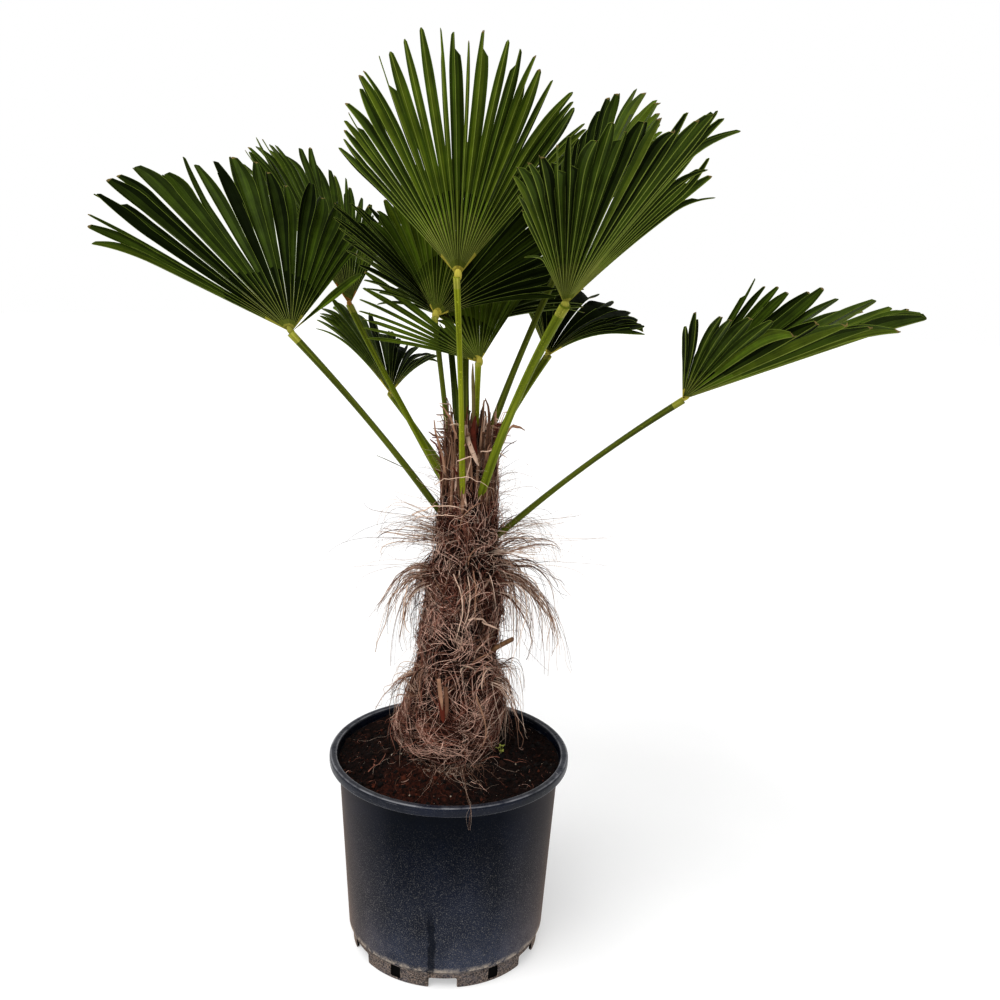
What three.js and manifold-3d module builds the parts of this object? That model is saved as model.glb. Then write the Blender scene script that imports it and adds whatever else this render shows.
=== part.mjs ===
// A windmill palm in its round nursery pot, in millimetres, +Z up.
// The origin is on the floor, on the pot's axis, under the pad in the middle of its base.
// The trunk stands on the soil with a slight lean to +X. Its foot flares, and tiers of
// fibre make it bulge. Twelve fronds grow from its top: each is a stalk that rises in an
// arc, and a pleated fan of leaflets that are joined for half their length. Tufts of loose
// fibre, dry strips of old leaf bases and the stub of a cut stalk stand out of the trunk.

import * as THREE from 'three';
import { mergeVertices } from 'three/addons/utils/BufferGeometryUtils.js';
import Module from 'manifold-3d';

const wasm = await Module();
wasm.setup();

// ---------------------------------------------------------------- driving dimensions

const GAP = 0.3;

// The pot is a 30 litre nursery container. It stands on six feet, which are the stretches
// of its foot ring between the notches, and each foot has a drain hole in its middle.
const pot = {
  height: 340,
  rimRadius: 195,
  rimDepth: 16,
  rimWidth: 13,
  rimEdge: 3,
  neckRadius: 181,
  wallHighRadius: 178.5,
  wallHigh: 300,
  wallLowRadius: 163,
  ledgeRadius: 157.5,
  ledgeHeight: 30,
  footRadius: 156,
  footWidth: 4,
  notchHeight: 17,
  feet: 6,
  notchAngle: 15,
  drainWidth: 18,
  drainLow: 5,
  drainHigh: 25,
  padRadius: 28,
  baseThickness: 3,
  sides: 32,
};
// Inside of the pot, from its floor up: radius, height.
const potInside = [[153, 20], [154, 28], [160, 33], [176, 300], [180, 322]];

// The soil fills the pot to its level and rises in a mound that the trunk stands on.
const soil = {
  level: 318,
  edgeRadius: 178.5,
  slopeRadius: 132,
  slopeLevel: 329,
  mound: 350,
  moundRadius: 92,
};

// The fibre-covered trunk: its height and radius at each ring. The fibre makes it lumpy, so
// the radius swells and shrinks by a small share, a few times round and up. It leans to +X,
// more at its foot than further up.
const trunk = {
  foot: soil.mound + GAP,
  tip: 903,
  profile: [
    [soil.mound + GAP, 79], [380, 84], [404, 82], [431, 79], [468, 72], [484, 67], [500, 60], [509, 57],
    [540, 61], [575, 58], [609, 55], [640, 60], [660, 55], [676, 44], [697, 42], [713, 48],
    [735, 45], [775, 41], [820, 38], [860, 33], [888, 26], [900, 14],
  ],
  sides: 16,
  leanStart: -8,
  leanEnd: 23,
  leanFrom: 340,
  leanTo: 900,
  leanBend: 2.5,
  lumpShare: 0.022,
  lumps: [{ round: 3, wave: 31, share: 1 }, { round: 5, wave: -19, share: 0.7 }],
};

// A stalk is slimmest in the middle: half its width there, and what its root and hub add.
const stalkSize = { halfWidth: 5, rootExtra: 4, hubExtra: 1.8, above: 0.5, below: 0.9, steps: 7, sides: 8 };

const fan = {
  leaflets: 14,
  thickness: 4.2,
  joined: 0.5,
  shoulder: 0.8,
  shoulderWidth: 0.9,
  pleat: 0.5,
  tipWidth: 0.45,
  tipCut: 0.02,
  crowding: 0.4,
  hubRadius: 11,
  hubStart: 9,
};

// The fronds, oldest first. Angles are in degrees, from +X towards +Y, and up from level.
//   root, out     height of the stalk's root, and its distance from the trunk's axis
//   from          the side of the trunk that the root is on, where it isn't the heading
//   heading, rise the way the stalk leaves; sag is what its rise loses on the way
//   stalk         length of the stalk
//   turn, pitch, roll  how the fan's middle turns from the heading, rises and rolls
//   spread, skew  half the fan's angle, and how far the whole fan is turned in its plane
//   cup           how far its sides fold up
//   reach, droop  length of the middle leaflet, and how much of it the tips hang down
//   loss, round   how much shorter the side leaflets are, and how round the outline is
const fronds = [
  {
    root: 708, out: 44, heading: -10, rise: 45, sag: 9, stalk: 358, turn: -10, pitch: 25, roll: 8,
    spread: 62, skew: 8, cup: 40, reach: 385, droop: 0, loss: 0.42, round: 0.7,
  },
  {
    root: 736, out: 40, from: 165, heading: 184, rise: 54, sag: 7, stalk: 364, turn: -35, pitch: 44,
    roll: -11, spread: 53, skew: 12, cup: 0, reach: 358, droop: 0, loss: 0.14, round: 3,
  },
  {
    root: 768, out: 38, heading: 114, rise: 19, sag: 2, stalk: 325, turn: -26, pitch: 17, roll: 1,
    spread: 36, skew: -16, cup: 40, reach: 355, droop: 0.13, loss: 0.28, round: 1.2,
  },
  {
    root: 772, out: 38, from: 146, heading: 124, rise: 36, sag: -5, stalk: 409, turn: -20, pitch: 39.4,
    roll: 31, spread: 34, skew: -9, cup: 9, reach: 390, droop: 0.06, loss: 0.17, round: 2.6,
  },
  {
    root: 787, out: 40, heading: 256, rise: 82, sag: 7, stalk: 333, turn: 3, pitch: 88, roll: 4,
    spread: 46, skew: 4, cup: 27, reach: 342, droop: 0.05, loss: 0.17, round: 1.5,
  },
  {
    root: 788, out: 40, heading: -63, rise: 63, sag: 16, stalk: 371, turn: -30, pitch: 38, roll: -1,
    spread: 36, skew: -15, cup: 33, reach: 372, droop: 0.05, loss: 0.33, round: 2.2,
  },
  {
    root: 812, out: 38, heading: 63, rise: 33, sag: 7, stalk: 286, turn: 22, pitch: 30, roll: 22,
    spread: 70, skew: -9, cup: 52, reach: 350, droop: 0.18, loss: 0.38, round: 1.1,
  },
  {
    root: 840, out: 36, from: 150, heading: 136, rise: 79, sag: 0, stalk: 203, turn: -41, pitch: 82,
    roll: 0, spread: 50, skew: 21, cup: 10, reach: 312, droop: 0.08, loss: 0.36, round: 1.2,
  },
  {
    root: 850, out: 24, from: 70, heading: 60, rise: 89, sag: 0, stalk: 124, turn: 28, pitch: 48,
    roll: 14, spread: 56, skew: -32, cup: 8, reach: 250, droop: 0.04, loss: 0.28, round: 1.5,
  },
  {
    root: 872, out: 38, from: 38, heading: 42, rise: 64, sag: 7, stalk: 275, turn: 19, pitch: 54,
    roll: -25, spread: 34, skew: 6, cup: 8, reach: 345, droop: 0.04, loss: 0.28, round: 1.5,
  },
  {
    root: 888, out: 30, from: 110, heading: 92, rise: 70, sag: 11, stalk: 140, turn: -14, pitch: 33,
    roll: 0, spread: 58, skew: 0, cup: 6, reach: 345, droop: 0.1, loss: 0.4, round: 1.2,
  },
  {
    root: 888, out: 24, from: 160, heading: 100, rise: 56, sag: 6, stalk: 168, turn: 66, pitch: 52,
    roll: -18, spread: 42, skew: -12, cup: 18, reach: 270, droop: 0.1, loss: 0.2, round: 1.0,
  },
];

// Tufts of loose fibre: where they stand on the trunk, how far their strands go out and
// hang down, the angle they fan out over, and how many there are.
const tufts = [
  { name: 'left_high', height: 706, heading: 185, reach: 110, fall: 5, rise: 14, fanned: 60, strands: 5 },
  { name: 'right_high', height: 690, heading: -4, reach: 115, fall: -15, rise: 12, fanned: 60, strands: 5 },
  { name: 'front_high', height: 652, heading: 262, reach: 34, fall: 75, rise: 8, fanned: 80, strands: 5 },
  { name: 'back_high', height: 696, heading: 85, reach: 85, fall: 20, rise: 15, fanned: 80, strands: 5 },
  { name: 'left_low', height: 645, heading: 188, reach: 74, fall: 130, rise: 14, fanned: 60, strands: 5 },
  { name: 'right_low', height: 648, heading: -12, reach: 96, fall: 160, rise: 14, fanned: 60, strands: 6 },
  { name: 'back_low', height: 640, heading: 80, reach: 70, fall: 120, rise: 15, fanned: 80, strands: 5 },
  { name: 'foot_left', height: 478, heading: 195, reach: 42, fall: 72, rise: 12, fanned: 50, strands: 4 },
  { name: 'foot_right', height: 478, heading: -15, reach: 50, fall: 112, rise: 14, fanned: 50, strands: 4 },
];
// A tuft's strands start from one seam of matted fibre. Some are shorter, and each curls.
const strand = {
  rootRadius: 2.4,
  tipRadius: 1.2,
  steps: 3,
  sides: 3,
  buried: 4,
  seamRadius: 6,
  shorter: 0.35,
  curl: 8,
};

// Dry strips of old leaf bases that stand up round the top of the trunk.
const strips = {
  count: 11,
  low: 742,
  lift: 11,
  length: 110,
  shorter: 0.24,
  halfWidth: 8,
  flat: 0.35,
  inside: 28,
  splay: 9,
  bend: 16,
  twist: 12,
  steps: 3,
};

// The stub of a cut stalk starts a little inside the fibre.
const stub = { height: 519, heading: -28, rise: 35, length: 56, halfWidth: 9, flat: 0.55, buried: 12 };

// ---------------------------------------------------------------- materials

const finish = (color, roughness) => new THREE.MeshStandardMaterial({ color, roughness, metalness: 0 });
const potPlastic = finish(0x262a31, 0.55);
const soilCrumb = finish(0x2b1d16, 0.95);
const fibre = finish(0x7d6252, 0.95);
const dryStrip = finish(0x8a6a52, 0.9);
const stalkGreen = finish(0x6b7f25, 0.5);
const leafGreen = finish(0x2f4a18, 0.5);

// ---------------------------------------------------------------- shared geometry

const radians = THREE.MathUtils.degToRad;
const UP = new THREE.Vector3(0, 0, 1);
const GOLDEN_ANGLE = 137.5;

function direction(heading, rise) {
  const level = Math.cos(radians(rise));
  return new THREE.Vector3(
    Math.cos(radians(heading)) * level,
    Math.sin(radians(heading)) * level,
    Math.sin(radians(rise)),
  );
}

// A solid for cutting and joining, from any closed geometry.
function solidOf(geometry) {
  const bare = geometry.clone();
  bare.deleteAttribute('normal');
  bare.deleteAttribute('uv');
  const merged = mergeVertices(bare, 1e-4);
  return new wasm.Manifold(new wasm.Mesh({
    numProp: 3,
    vertProperties: new Float32Array(merged.attributes.position.array),
    triVerts: new Uint32Array(merged.index.array),
  }));
}

function geometryOf(solid) {
  const { vertProperties, triVerts } = solid.getMesh();
  const geometry = new THREE.BufferGeometry();
  geometry.setAttribute('position', new THREE.Float32BufferAttribute(vertProperties, 3));
  geometry.setIndex(new THREE.Uint32BufferAttribute(triVerts, 1));
  const faceted = geometry.toNonIndexed();
  faceted.computeVertexNormals();
  return faceted;
}

// Cutting can leave loose scraps: the biggest body is the piece.
function biggest(solid) {
  const bodies = solid.decompose();
  return bodies.reduce((best, body) => (body.volume() > best.volume() ? body : best));
}

// A tapering limb along a line of points: the rings of a cylinder are moved on to the line.
// section(angle, share) gives its half-width and height there, as a pair.
function limb(points, section, sides) {
  const steps = points.length - 1;
  const geometry = new THREE.CylinderGeometry(1, 1, 1, sides, steps);
  const place = geometry.attributes.position;
  for (let i = 0; i < place.count; i += 1) {
    const at = Math.round((place.getY(i) + 0.5) * steps);
    const ahead = points[Math.min(at + 1, steps)];
    const behind = points[Math.max(at - 1, 0)];
    const along = ahead.clone().sub(behind).normalize();
    const reference = Math.abs(along.z) > 0.98 ? new THREE.Vector3(1, 0, 0) : UP;
    const side = new THREE.Vector3().crossVectors(along, reference).normalize();
    const top = new THREE.Vector3().crossVectors(side, along);
    const onAxis = Math.hypot(place.getX(i), place.getZ(i)) < 0.5;
    const [across, high] = onAxis ? [0, 0] : section(Math.atan2(place.getZ(i), place.getX(i)), at / steps);
    const point = points[at].clone().addScaledVector(side, across).addScaledVector(top, high);
    place.setXYZ(i, point.x, point.y, point.z);
  }
  return solidOf(geometry);
}

const roundSection = (radiusAt) => (angle, share) => (
  [Math.cos(angle) * radiusAt(share), Math.sin(angle) * radiusAt(share)]
);

// A lathe turns about +Y, so it is stood up on +Z.
function turned(profile, sides) {
  const outline = profile.map(([radius, height]) => new THREE.Vector2(radius, height));
  return solidOf(new THREE.LatheGeometry(outline, sides).rotateX(Math.PI / 2));
}

function axisX(height) {
  const share = THREE.MathUtils.clamp((height - trunk.leanFrom) / (trunk.leanTo - trunk.leanFrom), 0, 1);
  return THREE.MathUtils.lerp(trunk.leanEnd, trunk.leanStart, (1 - share) ** trunk.leanBend);
}

// A point at some distance from the trunk's leaning axis.
function offTrunk(height, heading, distance) {
  const point = direction(heading, 0).multiplyScalar(distance);
  return point.add(new THREE.Vector3(axisX(height), 0, height));
}

// ---------------------------------------------------------------- pot and soil

function makePot() {
  const top = pot.height;
  const rim = pot.rimRadius;
  const edge = pot.rimEdge;
  const under = top - pot.rimDepth;
  const base = pot.notchHeight;
  const footInside = pot.footRadius - pot.footWidth;
  const profile = [
    [0, 0], [pot.padRadius, 0], [pot.padRadius, base], [footInside, base], [footInside, 0],
    [pot.footRadius, 0], [pot.ledgeRadius, pot.ledgeHeight], [pot.wallLowRadius, pot.ledgeHeight + 2],
    [pot.wallHighRadius, pot.wallHigh], [pot.neckRadius, under], [rim - edge, under],
    [rim, under + edge], [rim, top - edge], [rim - edge, top], [rim - pot.rimWidth + edge, top],
    [rim - pot.rimWidth, top - edge],
    ...potInside.slice().reverse(), [0, base + pot.baseThickness],
  ];
  let body = turned(profile, pot.sides);
  const drainHeight = pot.drainHigh - pot.drainLow;
  const through = 8 * pot.footWidth;
  const drain = new THREE.BoxGeometry(through, pot.drainWidth, drainHeight);
  drain.translate(pot.footRadius, 0, pot.drainLow + drainHeight / 2);
  const notchWidth = 2 * pot.footRadius * Math.sin(radians(pot.notchAngle / 2));
  const notch = new THREE.BoxGeometry(through, notchWidth, 2 * pot.notchHeight);
  notch.translate(pot.footRadius, 0, 0);
  for (let foot = 0; foot < pot.feet; foot += 1) {
    const around = (foot * 2 * Math.PI) / pot.feet;
    body = body.subtract(solidOf(drain.clone().rotateZ(around)));
    body = body.subtract(solidOf(notch.clone().rotateZ(around + Math.PI / pot.feet)));
  }
  return body;
}

function makeSoil() {
  const side = potInside.slice(0, 4).map(([radius, height]) => [radius - 1.5 * GAP, height + GAP]);
  return turned([
    [0, side[0][1]], ...side, [soil.edgeRadius, soil.level], [soil.slopeRadius, soil.slopeLevel],
    [soil.moundRadius, soil.mound], [0, soil.mound],
  ], pot.sides);
}

// ---------------------------------------------------------------- trunk

function lumpScale(around, height) {
  const lump = ({ round, wave, share }) => share * Math.sin(round * around + height / wave);
  return 1 + trunk.lumpShare * trunk.lumps.reduce((sum, each) => sum + lump(each), 0);
}

// grow makes the trunk thicker all over, and lets it reach down into the soil.
function trunkCore(grow) {
  const outline = trunk.profile.map(([height, radius]) => new THREE.Vector2(radius, height));
  const closed = [new THREE.Vector2(0, trunk.foot), ...outline, new THREE.Vector2(0, trunk.tip)];
  const geometry = new THREE.LatheGeometry(closed, trunk.sides).rotateX(Math.PI / 2);
  const place = geometry.attributes.position;
  for (let i = 0; i < place.count; i += 1) {
    const radius = Math.hypot(place.getX(i), place.getY(i));
    if (radius > 0.01) {
      const around = Math.atan2(place.getY(i), place.getX(i));
      const scale = lumpScale(around, place.getZ(i)) + grow / radius;
      place.setX(i, place.getX(i) * scale);
      place.setY(i, place.getY(i) * scale);
    }
    place.setX(i, place.getX(i) + axisX(place.getZ(i)));
    if (grow > 0 && place.getZ(i) <= trunk.foot) place.setZ(i, trunk.foot - 5);
  }
  return solidOf(geometry);
}

// One dry strip: a flat, pointed limb that starts inside the trunk and splays outwards.
function makeStrip(index) {
  const heading = index * GOLDEN_ANGLE;
  const low = strips.low + index * strips.lift;
  const length = strips.length * (1 - strips.shorter * ((index * 3) % 4) / 3);
  const points = [];
  for (let step = 0; step <= strips.steps; step += 1) {
    const share = step / strips.steps;
    const out = strips.inside + strips.splay * share + strips.bend * share * share;
    points.push(offTrunk(low + length * share, heading + strips.twist * share, out));
  }
  const halfWidth = (share) => strips.halfWidth * (1.15 - share);
  const across = direction(heading + 90, 0);
  const outward = direction(heading, 0);
  const geometry = new THREE.CylinderGeometry(1, 1, 1, 4, strips.steps);
  const place = geometry.attributes.position;
  for (let i = 0; i < place.count; i += 1) {
    const at = Math.round((place.getY(i) + 0.5) * strips.steps);
    const wide = halfWidth(at / strips.steps);
    const point = points[at].clone();
    point.addScaledVector(across, place.getZ(i) * wide);
    point.addScaledVector(outward, place.getX(i) * wide * strips.flat);
    place.setXYZ(i, point.x, point.y, point.z);
  }
  return upright(geometry);
}

// A mirrored placement turns a shape inside out: its faces are then turned back.
function upright(geometry) {
  const solid = solidOf(geometry);
  if (solid.volume() > 0) return solid;
  const index = geometry.index.array;
  for (let i = 0; i < index.length; i += 3) {
    [index[i], index[i + 1]] = [index[i + 1], index[i]];
  }
  return solidOf(geometry);
}

// ---------------------------------------------------------------- fronds

function stalkLine(frond) {
  const points = [offTrunk(frond.root, frond.from ?? frond.heading, frond.out)];
  const step = frond.stalk / stalkSize.steps;
  for (let i = 0; i < stalkSize.steps; i += 1) {
    const rise = frond.rise - (frond.sag * (i + 0.5)) / stalkSize.steps;
    const last = points[points.length - 1];
    points.push(last.clone().addScaledVector(direction(frond.heading, rise), step));
  }
  return points;
}

// The stalk is flat above and round below. grow makes it thicker and longer all over.
function makeStalk(frond, grow) {
  const points = stalkLine(frond);
  const end = points.length - 1;
  const last = points[end].clone().sub(points[end - 1]).normalize();
  const first = points[1].clone().sub(points[0]).normalize();
  points[end].addScaledVector(last, grow);
  points[0].addScaledVector(first, -grow);
  const section = (angle, share) => {
    const halfWidth = stalkSize.halfWidth + stalkSize.rootExtra * (1 - share) ** 4
      + stalkSize.hubExtra * share ** 6;
    const high = Math.sin(angle) > 0 ? stalkSize.above : stalkSize.below;
    return [
      Math.cos(angle) * (halfWidth + 1.4 * grow),
      Math.sin(angle) * (halfWidth * high + 1.4 * grow),
    ];
  };
  return limb(points, section, stalkSize.sides);
}

// The fan's frame: its middle line, its side and its upper face.
function fanFrame(frond) {
  const middle = direction(frond.heading + frond.turn, frond.pitch);
  const levelSide = new THREE.Vector3().crossVectors(middle, UP).normalize();
  const levelTop = new THREE.Vector3().crossVectors(levelSide, middle);
  const top = levelTop.multiplyScalar(Math.cos(radians(frond.roll)));
  top.addScaledVector(levelSide, Math.sin(radians(frond.roll)));
  const side = new THREE.Vector3().crossVectors(middle, top);
  return { middle, side, top };
}

// The way a leaflet points, for a place across the fan from -1 to 1.
function leafletWay(frond, frame, across) {
  const angle = radians(across * frond.spread + frond.skew);
  const fold = radians(frond.cup) * Math.min(1, Math.abs(angle) / radians(frond.spread));
  return frame.middle.clone().multiplyScalar(Math.cos(angle))
    .addScaledVector(frame.side, Math.sin(angle) * Math.cos(fold))
    .addScaledVector(frame.top, Math.abs(Math.sin(angle)) * Math.sin(fold));
}

const lengthAt = (frond, across) => frond.reach * (1 - frond.loss * Math.abs(across) ** frond.round);

// Leaflets are wide apart in the middle of a fan and crowd together at its sides.
function crowd(even) {
  return (1 - fan.crowding) * even + fan.crowding * Math.sin((even * Math.PI) / 2);
}

// A place on the fan: along is the share of the leaflet's length, sideways and up are
// millimetres off its rib.
function fanPoint(frond, frame, hub, across, along, sideways, up) {
  const way = leafletWay(frond, frame, across);
  const next = leafletWay(frond, frame, across + 0.01);
  const crosswise = next.sub(way).normalize();
  const normal = new THREE.Vector3().crossVectors(crosswise, way).normalize();
  const hang = frond.droop * frond.reach * (0.5 + Math.abs(across)) * along * along;
  const point = hub.clone().addScaledVector(way, lengthAt(frond, across) * along);
  point.addScaledVector(crosswise, sideways).addScaledVector(normal, up);
  point.z -= hang;
  return { point, normal };
}

// Thickens a sheet of triangles: a copy of it on each side, and a wall along each free edge.
function thickened(sheet, triangles, thickness) {
  const count = sheet.length;
  const position = [];
  for (const half of [0.5, -0.5]) {
    for (const { point, normal } of sheet) {
      position.push(...point.clone().addScaledVector(normal, half * thickness).toArray());
    }
  }
  const edges = new Set();
  for (const [a, b, c] of triangles) {
    [[a, b], [b, c], [c, a]].forEach(([from, to]) => edges.add(`${from} ${to}`));
  }
  const index = [];
  for (const [a, b, c] of triangles) {
    index.push(a, b, c, a + count, c + count, b + count);
    for (const [from, to] of [[a, b], [b, c], [c, a]]) {
      if (!edges.has(`${to} ${from}`)) {
        index.push(to, from, from + count, to, from + count, to + count);
      }
    }
  }
  const geometry = new THREE.BufferGeometry();
  geometry.setAttribute('position', new THREE.Float32BufferAttribute(position, 3));
  geometry.setIndex(index);
  return upright(geometry);
}

// The fan: leaflets folded in a V along their ribs, joined to their neighbours as far as
// the split, and free with a blunt tip beyond it. grow makes it bigger all over.
function makeFan(frond, grow) {
  const frame = fanFrame(frond);
  const line = stalkLine(frond);
  const hub = line[line.length - 1];
  const sheet = [];
  const add = (across, along, sideways, up) => {
    sheet.push(fanPoint(frond, frame, hub, across, along, sideways, up));
    return sheet.length - 1;
  };
  const count = fan.leaflets;
  const edgeAt = (i) => crowd(-1 + (2 * i) / count);
  const start = fan.hubStart / frond.reach;
  const triangles = [];
  const quad = (a, b, c, d) => triangles.push([a, b, c], [a, c, d]);
  const widthOf = (i) => {
    const left = fanPoint(frond, frame, hub, edgeAt(i), fan.joined, 0, 0).point;
    const right = fanPoint(frond, frame, hub, edgeAt(i + 1), fan.joined, 0, 0).point;
    return left.distanceTo(right);
  };
  const foldAt = (i) => (fan.pleat * (widthOf(Math.min(i, count - 1)) + widthOf(Math.max(i - 1, 0)))) / 4;
  const edges = [];
  for (let i = 0; i <= count; i += 1) {
    const outwards = (i === count ? grow : 0) - (i === 0 ? grow : 0);
    edges.push([add(edgeAt(i), start, outwards, 0), add(edgeAt(i), fan.joined, outwards, foldAt(i))]);
  }
  for (let i = 0; i < count; i += 1) {
    const middle = (edgeAt(i) + edgeAt(i + 1)) / 2;
    const half = widthOf(i) / 2;
    const fold = fan.pleat * half;
    const ribStart = add(middle, start, 0, 0);
    const ribSplit = add(middle, fan.joined, 0, 0);
    const tip = 1 + grow / frond.reach;
    const wide = half * fan.shoulderWidth + grow;
    const narrow = half * fan.tipWidth + grow;
    const leftMid = add(middle, fan.shoulder, -wide, fold);
    const ribMid = add(middle, fan.shoulder, 0, 0);
    const rightMid = add(middle, fan.shoulder, wide, fold);
    const leftTip = add(middle, tip - fan.tipCut, -narrow, fold * fan.tipWidth);
    const ribTip = add(middle, tip, 0, 0);
    const rightTip = add(middle, tip - fan.tipCut, narrow, fold * fan.tipWidth);
    const [leftStart, leftSplit] = edges[i];
    const [rightStart, rightSplit] = edges[i + 1];
    quad(leftStart, ribStart, ribSplit, leftSplit);
    quad(ribStart, rightStart, rightSplit, ribSplit);
    quad(leftSplit, ribSplit, ribMid, leftMid);
    quad(ribSplit, rightSplit, rightMid, ribMid);
    quad(leftMid, ribMid, ribTip, leftTip);
    quad(ribMid, rightMid, rightTip, ribTip);
  }
  const knob = new THREE.SphereGeometry(fan.hubRadius + 1.4 * grow, 6, 4);
  const centre = hub.clone().addScaledVector(frame.middle, fan.hubStart);
  knob.translate(centre.x, centre.y, centre.z);
  return thickened(sheet, triangles, fan.thickness + 3 * grow).add(solidOf(knob));
}

// ---------------------------------------------------------------- loose fibre and stub

// One strand leaves the trunk with a rise and bends down under its weight.
function strandLine(tuft, share) {
  const heading = tuft.heading + (share - 0.5) * tuft.fanned;
  const reach = tuft.reach * (1 - strand.shorter * Math.abs(Math.sin(share * 9)));
  const rise = tuft.rise * (0.6 + 0.8 * Math.abs(Math.sin(share * 5)));
  const points = [];
  for (let step = 0; step <= strand.steps; step += 1) {
    const along = step / strand.steps;
    const out = surfaceRadius(tuft.height) - strand.buried + reach * Math.sin((along * Math.PI) / 2);
    const curl = strand.curl * Math.sin(along * 4 + share * 7);
    const point = offTrunk(tuft.height, heading + curl, out);
    point.z += rise * Math.sin(along * Math.PI) - tuft.fall * along * along;
    points.push(point);
  }
  return points;
}

function surfaceRadius(height) {
  const above = trunk.profile.findIndex(([level]) => level > height);
  const [lowLevel, lowRadius] = trunk.profile[above - 1];
  const [highLevel, highRadius] = trunk.profile[above];
  return THREE.MathUtils.mapLinear(height, lowLevel, highLevel, lowRadius, highRadius);
}

function makeTuft(tuft, trunkSpace) {
  const radiusAt = (share) => THREE.MathUtils.lerp(strand.rootRadius, strand.tipRadius, share);
  const arc = [];
  let body = null;
  for (let i = 0; i < tuft.strands; i += 1) {
    const line = strandLine(tuft, i / (tuft.strands - 1));
    const piece = limb(line, roundSection(radiusAt), strand.sides);
    body = body ? body.add(piece) : piece;
    arc.push(line[0].clone());
  }
  const seam = limb(arc, roundSection(() => strand.seamRadius), 5);
  return biggest(body.add(seam).subtract(trunkSpace));
}

function makeStub(trunkSpace) {
  const start = offTrunk(stub.height, stub.heading, surfaceRadius(stub.height) - stub.buried);
  const way = direction(stub.heading, stub.rise);
  const points = [0, 0.5, 1].map((share) => start.clone().addScaledVector(way, stub.length * share));
  const section = (angle, share) => [
    Math.cos(angle) * stub.halfWidth * (1.1 - 0.3 * share),
    Math.sin(angle) * stub.halfWidth * stub.flat,
  ];
  return biggest(limb(points, section, 8).subtract(trunkSpace));
}

// ---------------------------------------------------------------- assembly

const palm = new THREE.Group();

function place(name, solid, material) {
  const mesh = new THREE.Mesh(geometryOf(solid), material);
  mesh.name = name;
  palm.add(mesh);
}

place('pot', makePot(), potPlastic);
place('soil', makeSoil(), soilCrumb);

let trunkBody = trunkCore(0);
for (let i = 0; i < strips.count; i += 1) {
  trunkBody = trunkBody.add(makeStrip(i));
}
for (const frond of fronds) {
  trunkBody = trunkBody.subtract(makeStalk(frond, GAP));
}
place('trunk', biggest(trunkBody), fibre);

const trunkSpace = trunkCore(GAP);
for (const tuft of tufts) {
  place(`tuft_${tuft.name}`, makeTuft(tuft, trunkSpace), fibre);
}
place('cut_stub', makeStub(trunkSpace), dryStrip);

// A fan is cut clear of every stalk, and of the fans of all older fronds.
const stalkSpaces = fronds.map((frond) => makeStalk(frond, GAP));
const fanSpaces = fronds.map((frond) => makeFan(frond, GAP));
fronds.forEach((frond, i) => {
  const number = String(i + 1).padStart(2, '0');
  let blade = makeFan(frond, 0);
  for (const space of [...stalkSpaces, ...fanSpaces.slice(0, i)]) {
    blade = blade.subtract(space);
  }
  place(`frond_${number}_stalk`, makeStalk(frond, 0), stalkGreen);
  place(`frond_${number}_blade`, biggest(blade), leafGreen);
});

export default palm;
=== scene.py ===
# A windmill palm in its round nursery pot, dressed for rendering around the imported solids.
# The plant grows by the same rule as its solids: stalks rise in arcs from the trunk, and
# each carries a pleated fan of leaflets. Here the fans get finer leaflets, the trunk its
# coat of fibre, and the pot its dust. Sizes are in millimetres until a mesh is made.
import math
from functools import partial

import bpy
import numpy as np
from mathutils import Matrix, Vector


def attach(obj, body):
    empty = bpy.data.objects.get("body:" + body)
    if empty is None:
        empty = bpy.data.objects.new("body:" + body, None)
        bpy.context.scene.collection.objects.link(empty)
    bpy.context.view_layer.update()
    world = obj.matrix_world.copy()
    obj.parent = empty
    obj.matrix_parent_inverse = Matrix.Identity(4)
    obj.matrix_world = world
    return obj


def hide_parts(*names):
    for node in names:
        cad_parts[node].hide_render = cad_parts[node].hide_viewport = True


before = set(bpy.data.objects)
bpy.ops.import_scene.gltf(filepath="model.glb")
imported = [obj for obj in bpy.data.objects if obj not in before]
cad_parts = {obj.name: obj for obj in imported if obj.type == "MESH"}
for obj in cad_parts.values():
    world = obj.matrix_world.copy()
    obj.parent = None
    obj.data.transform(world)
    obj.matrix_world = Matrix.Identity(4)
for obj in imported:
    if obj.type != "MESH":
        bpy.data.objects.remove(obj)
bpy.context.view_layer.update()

MM = 0.001
BODY = "root"
UP = np.array([0.0, 0.0, 1.0])
TURN = 2 * math.pi

# ---------------------------------------------------------------- the plant's own sizes

TRUNK_FOOT = 350.3
TRUNK_TOP = 890
TRUNK_RINGS = [
    (350.3, 79), (380, 84), (404, 82), (431, 79), (468, 72), (484, 67), (500, 60), (509, 57),
    (540, 61), (575, 58), (609, 55), (640, 60), (660, 55), (676, 44), (697, 42), (713, 48),
    (735, 45), (775, 41), (820, 38), (860, 33), (888, 26), (900, 14),
]
# Lumps round the trunk: how many, over what height they twist, and how strong they are.
LUMPS = [(3, 31, 1.0), (5, -19, 0.7)]
LUMP_SHARE = 0.022
LEAN = {"from": 340, "to": 900, "start": -8, "end": 23, "bend": 2.5}
STUB = {"height": 519, "heading": -28, "rise": 35, "length": 56, "half_width": 9, "buried": 12}
SOIL_RINGS = [(0, 351), (92, 350), (132, 333), (165, 327), (179.5, 327)]
SOIL_EDGE = 179.3
SOIL_UNDERSIDE = 302
STALK = {"half_width": 5, "root_extra": 3, "hub_extra": 1.8, "above": 0.5, "below": 0.9}
FAN = {"crowding": 0.4, "hub_start": 7}

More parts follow.
